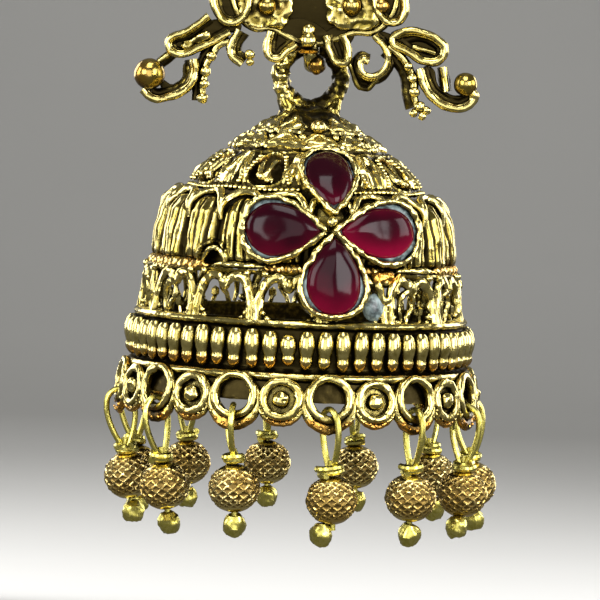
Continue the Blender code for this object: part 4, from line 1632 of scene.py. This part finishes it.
FLOOR_HEIGHT = -75.0
FLOOR_HALF = 1200
FLOOR_FRONT = -900
SWEEP_FOOT = 500
SWEEP_RADIUS = 300
BACKDROP_TOP = 900
CAMERA_DISTANCE = 250.0
CAMERA_RISE = math.radians(2.9)
CAMERA_ROLL = math.radians(2.5)
CAMERA_SHIFT = -0.0714285714
LOOK_AT = Vector((0, 0.8, -22.88))
VIEW_WIDTH = 42.857143
LIGHTS = (
    # azimuth from the camera, rise, distance, size, power
    (-40, 13, 300, 180, 0.50),
    (41, 16, 300, 190, 0.70),
    (-5, 66, 320, 190, 0.45),
    (-88, 16, 300, 180, 0.40),
    (84, 18, 300, 180, 0.40),
    (-138, 14, 320, 190, 0.40),
    (136, 14, 320, 190, 0.40),
    (0, 9, 300, 240, 0.24),
)
SOFTBOX_WIDTH = 0.75


def softbox(name, place, target, width, height, power):
    light = bpy.data.lights.new(name, "AREA")
    light.shape = "RECTANGLE"
    light.size = width * MM
    light.size_y = height * MM
    light.energy = power
    stand = in_scene(name, light)
    stand.location = place * MM
    stand.rotation_euler = (target - place).to_track_quat("-Z", "Y").to_euler()


def make_floor():
    """A pale floor that sweeps up behind."""
    section = [(FLOOR_FRONT, 0)]
    for turn in (math.pi / 2 * i / 12 for i in range(13)):
        rise = SWEEP_RADIUS - SWEEP_RADIUS * math.cos(turn)
        section.append((SWEEP_FOOT + SWEEP_RADIUS * math.sin(turn), rise))
    section.append((SWEEP_FOOT + SWEEP_RADIUS, BACKDROP_TOP))
    shape = bmesh.new()
    line = [shape.verts.new((-FLOOR_HALF, back, FLOOR_HEIGHT + up)) for back, up in section]
    edges = [shape.edges.new(pair) for pair in zip(line, line[1:])]
    made = bmesh.ops.extrude_edge_only(shape, edges=edges)
    far = [item for item in made["geom"] if isinstance(item, bmesh.types.BMVert)]
    bmesh.ops.translate(shape, vec=(2 * FLOOR_HALF, 0, 0), verts=far)
    bmesh.ops.recalc_face_normals(shape, faces=shape.faces)
    floor = in_scene("floor", mesh_of("floor", shape, pale_paint("floor_paint", (0.56, 0.555, 0.54))))
    floor.visible_glossy = False


def make_camera():
    lens = bpy.data.cameras.new("camera")
    lens.sensor_width = 36
    lens.lens = lens.sensor_width * CAMERA_DISTANCE / VIEW_WIDTH
    lens.clip_start = 0.001
    camera = in_scene("camera", lens)
    direction = Vector((0, -math.cos(CAMERA_RISE), math.sin(CAMERA_RISE)))
    look = (-direction).to_track_quat("-Z", "Y").to_matrix() @ Matrix.Rotation(CAMERA_ROLL, 3, "Z")
    camera.rotation_euler = look.to_euler()
    camera.location = (LOOK_AT + direction * CAMERA_DISTANCE + look @ Vector((CAMERA_SHIFT, 0, 0))) * MM
    bpy.context.scene.camera = camera


def make_studio():
    """The floor, soft lights all round, and the camera."""
    make_floor()
    for i, (azimuth, rise, distance, size, power) in enumerate(LIGHTS):
        azimuth, rise = math.radians(azimuth), math.radians(rise)
        direction = Vector((math.sin(azimuth), -math.cos(azimuth), math.tan(rise))).normalized()
        place = LOOK_AT + direction * distance
        softbox(f"softbox_{i}", place, LOOK_AT, size * SOFTBOX_WIDTH, size, power)
    softbox("backdrop_light", Vector((0, 230, 80)), Vector((0, 700, 20)), 300, 300, 0.5)

    world = bpy.data.worlds.new("studio")
    world.use_nodes = True
    backdrop = world.node_tree.nodes["Background"]
    backdrop.inputs["Color"].default_value = colour(0.84, 0.83, 0.77)
    backdrop.inputs["Strength"].default_value = 0.20
    bpy.context.scene.world = world
    bpy.context.scene.view_settings.view_transform = "Standard"
    make_camera()


make_stud()
make_studio()
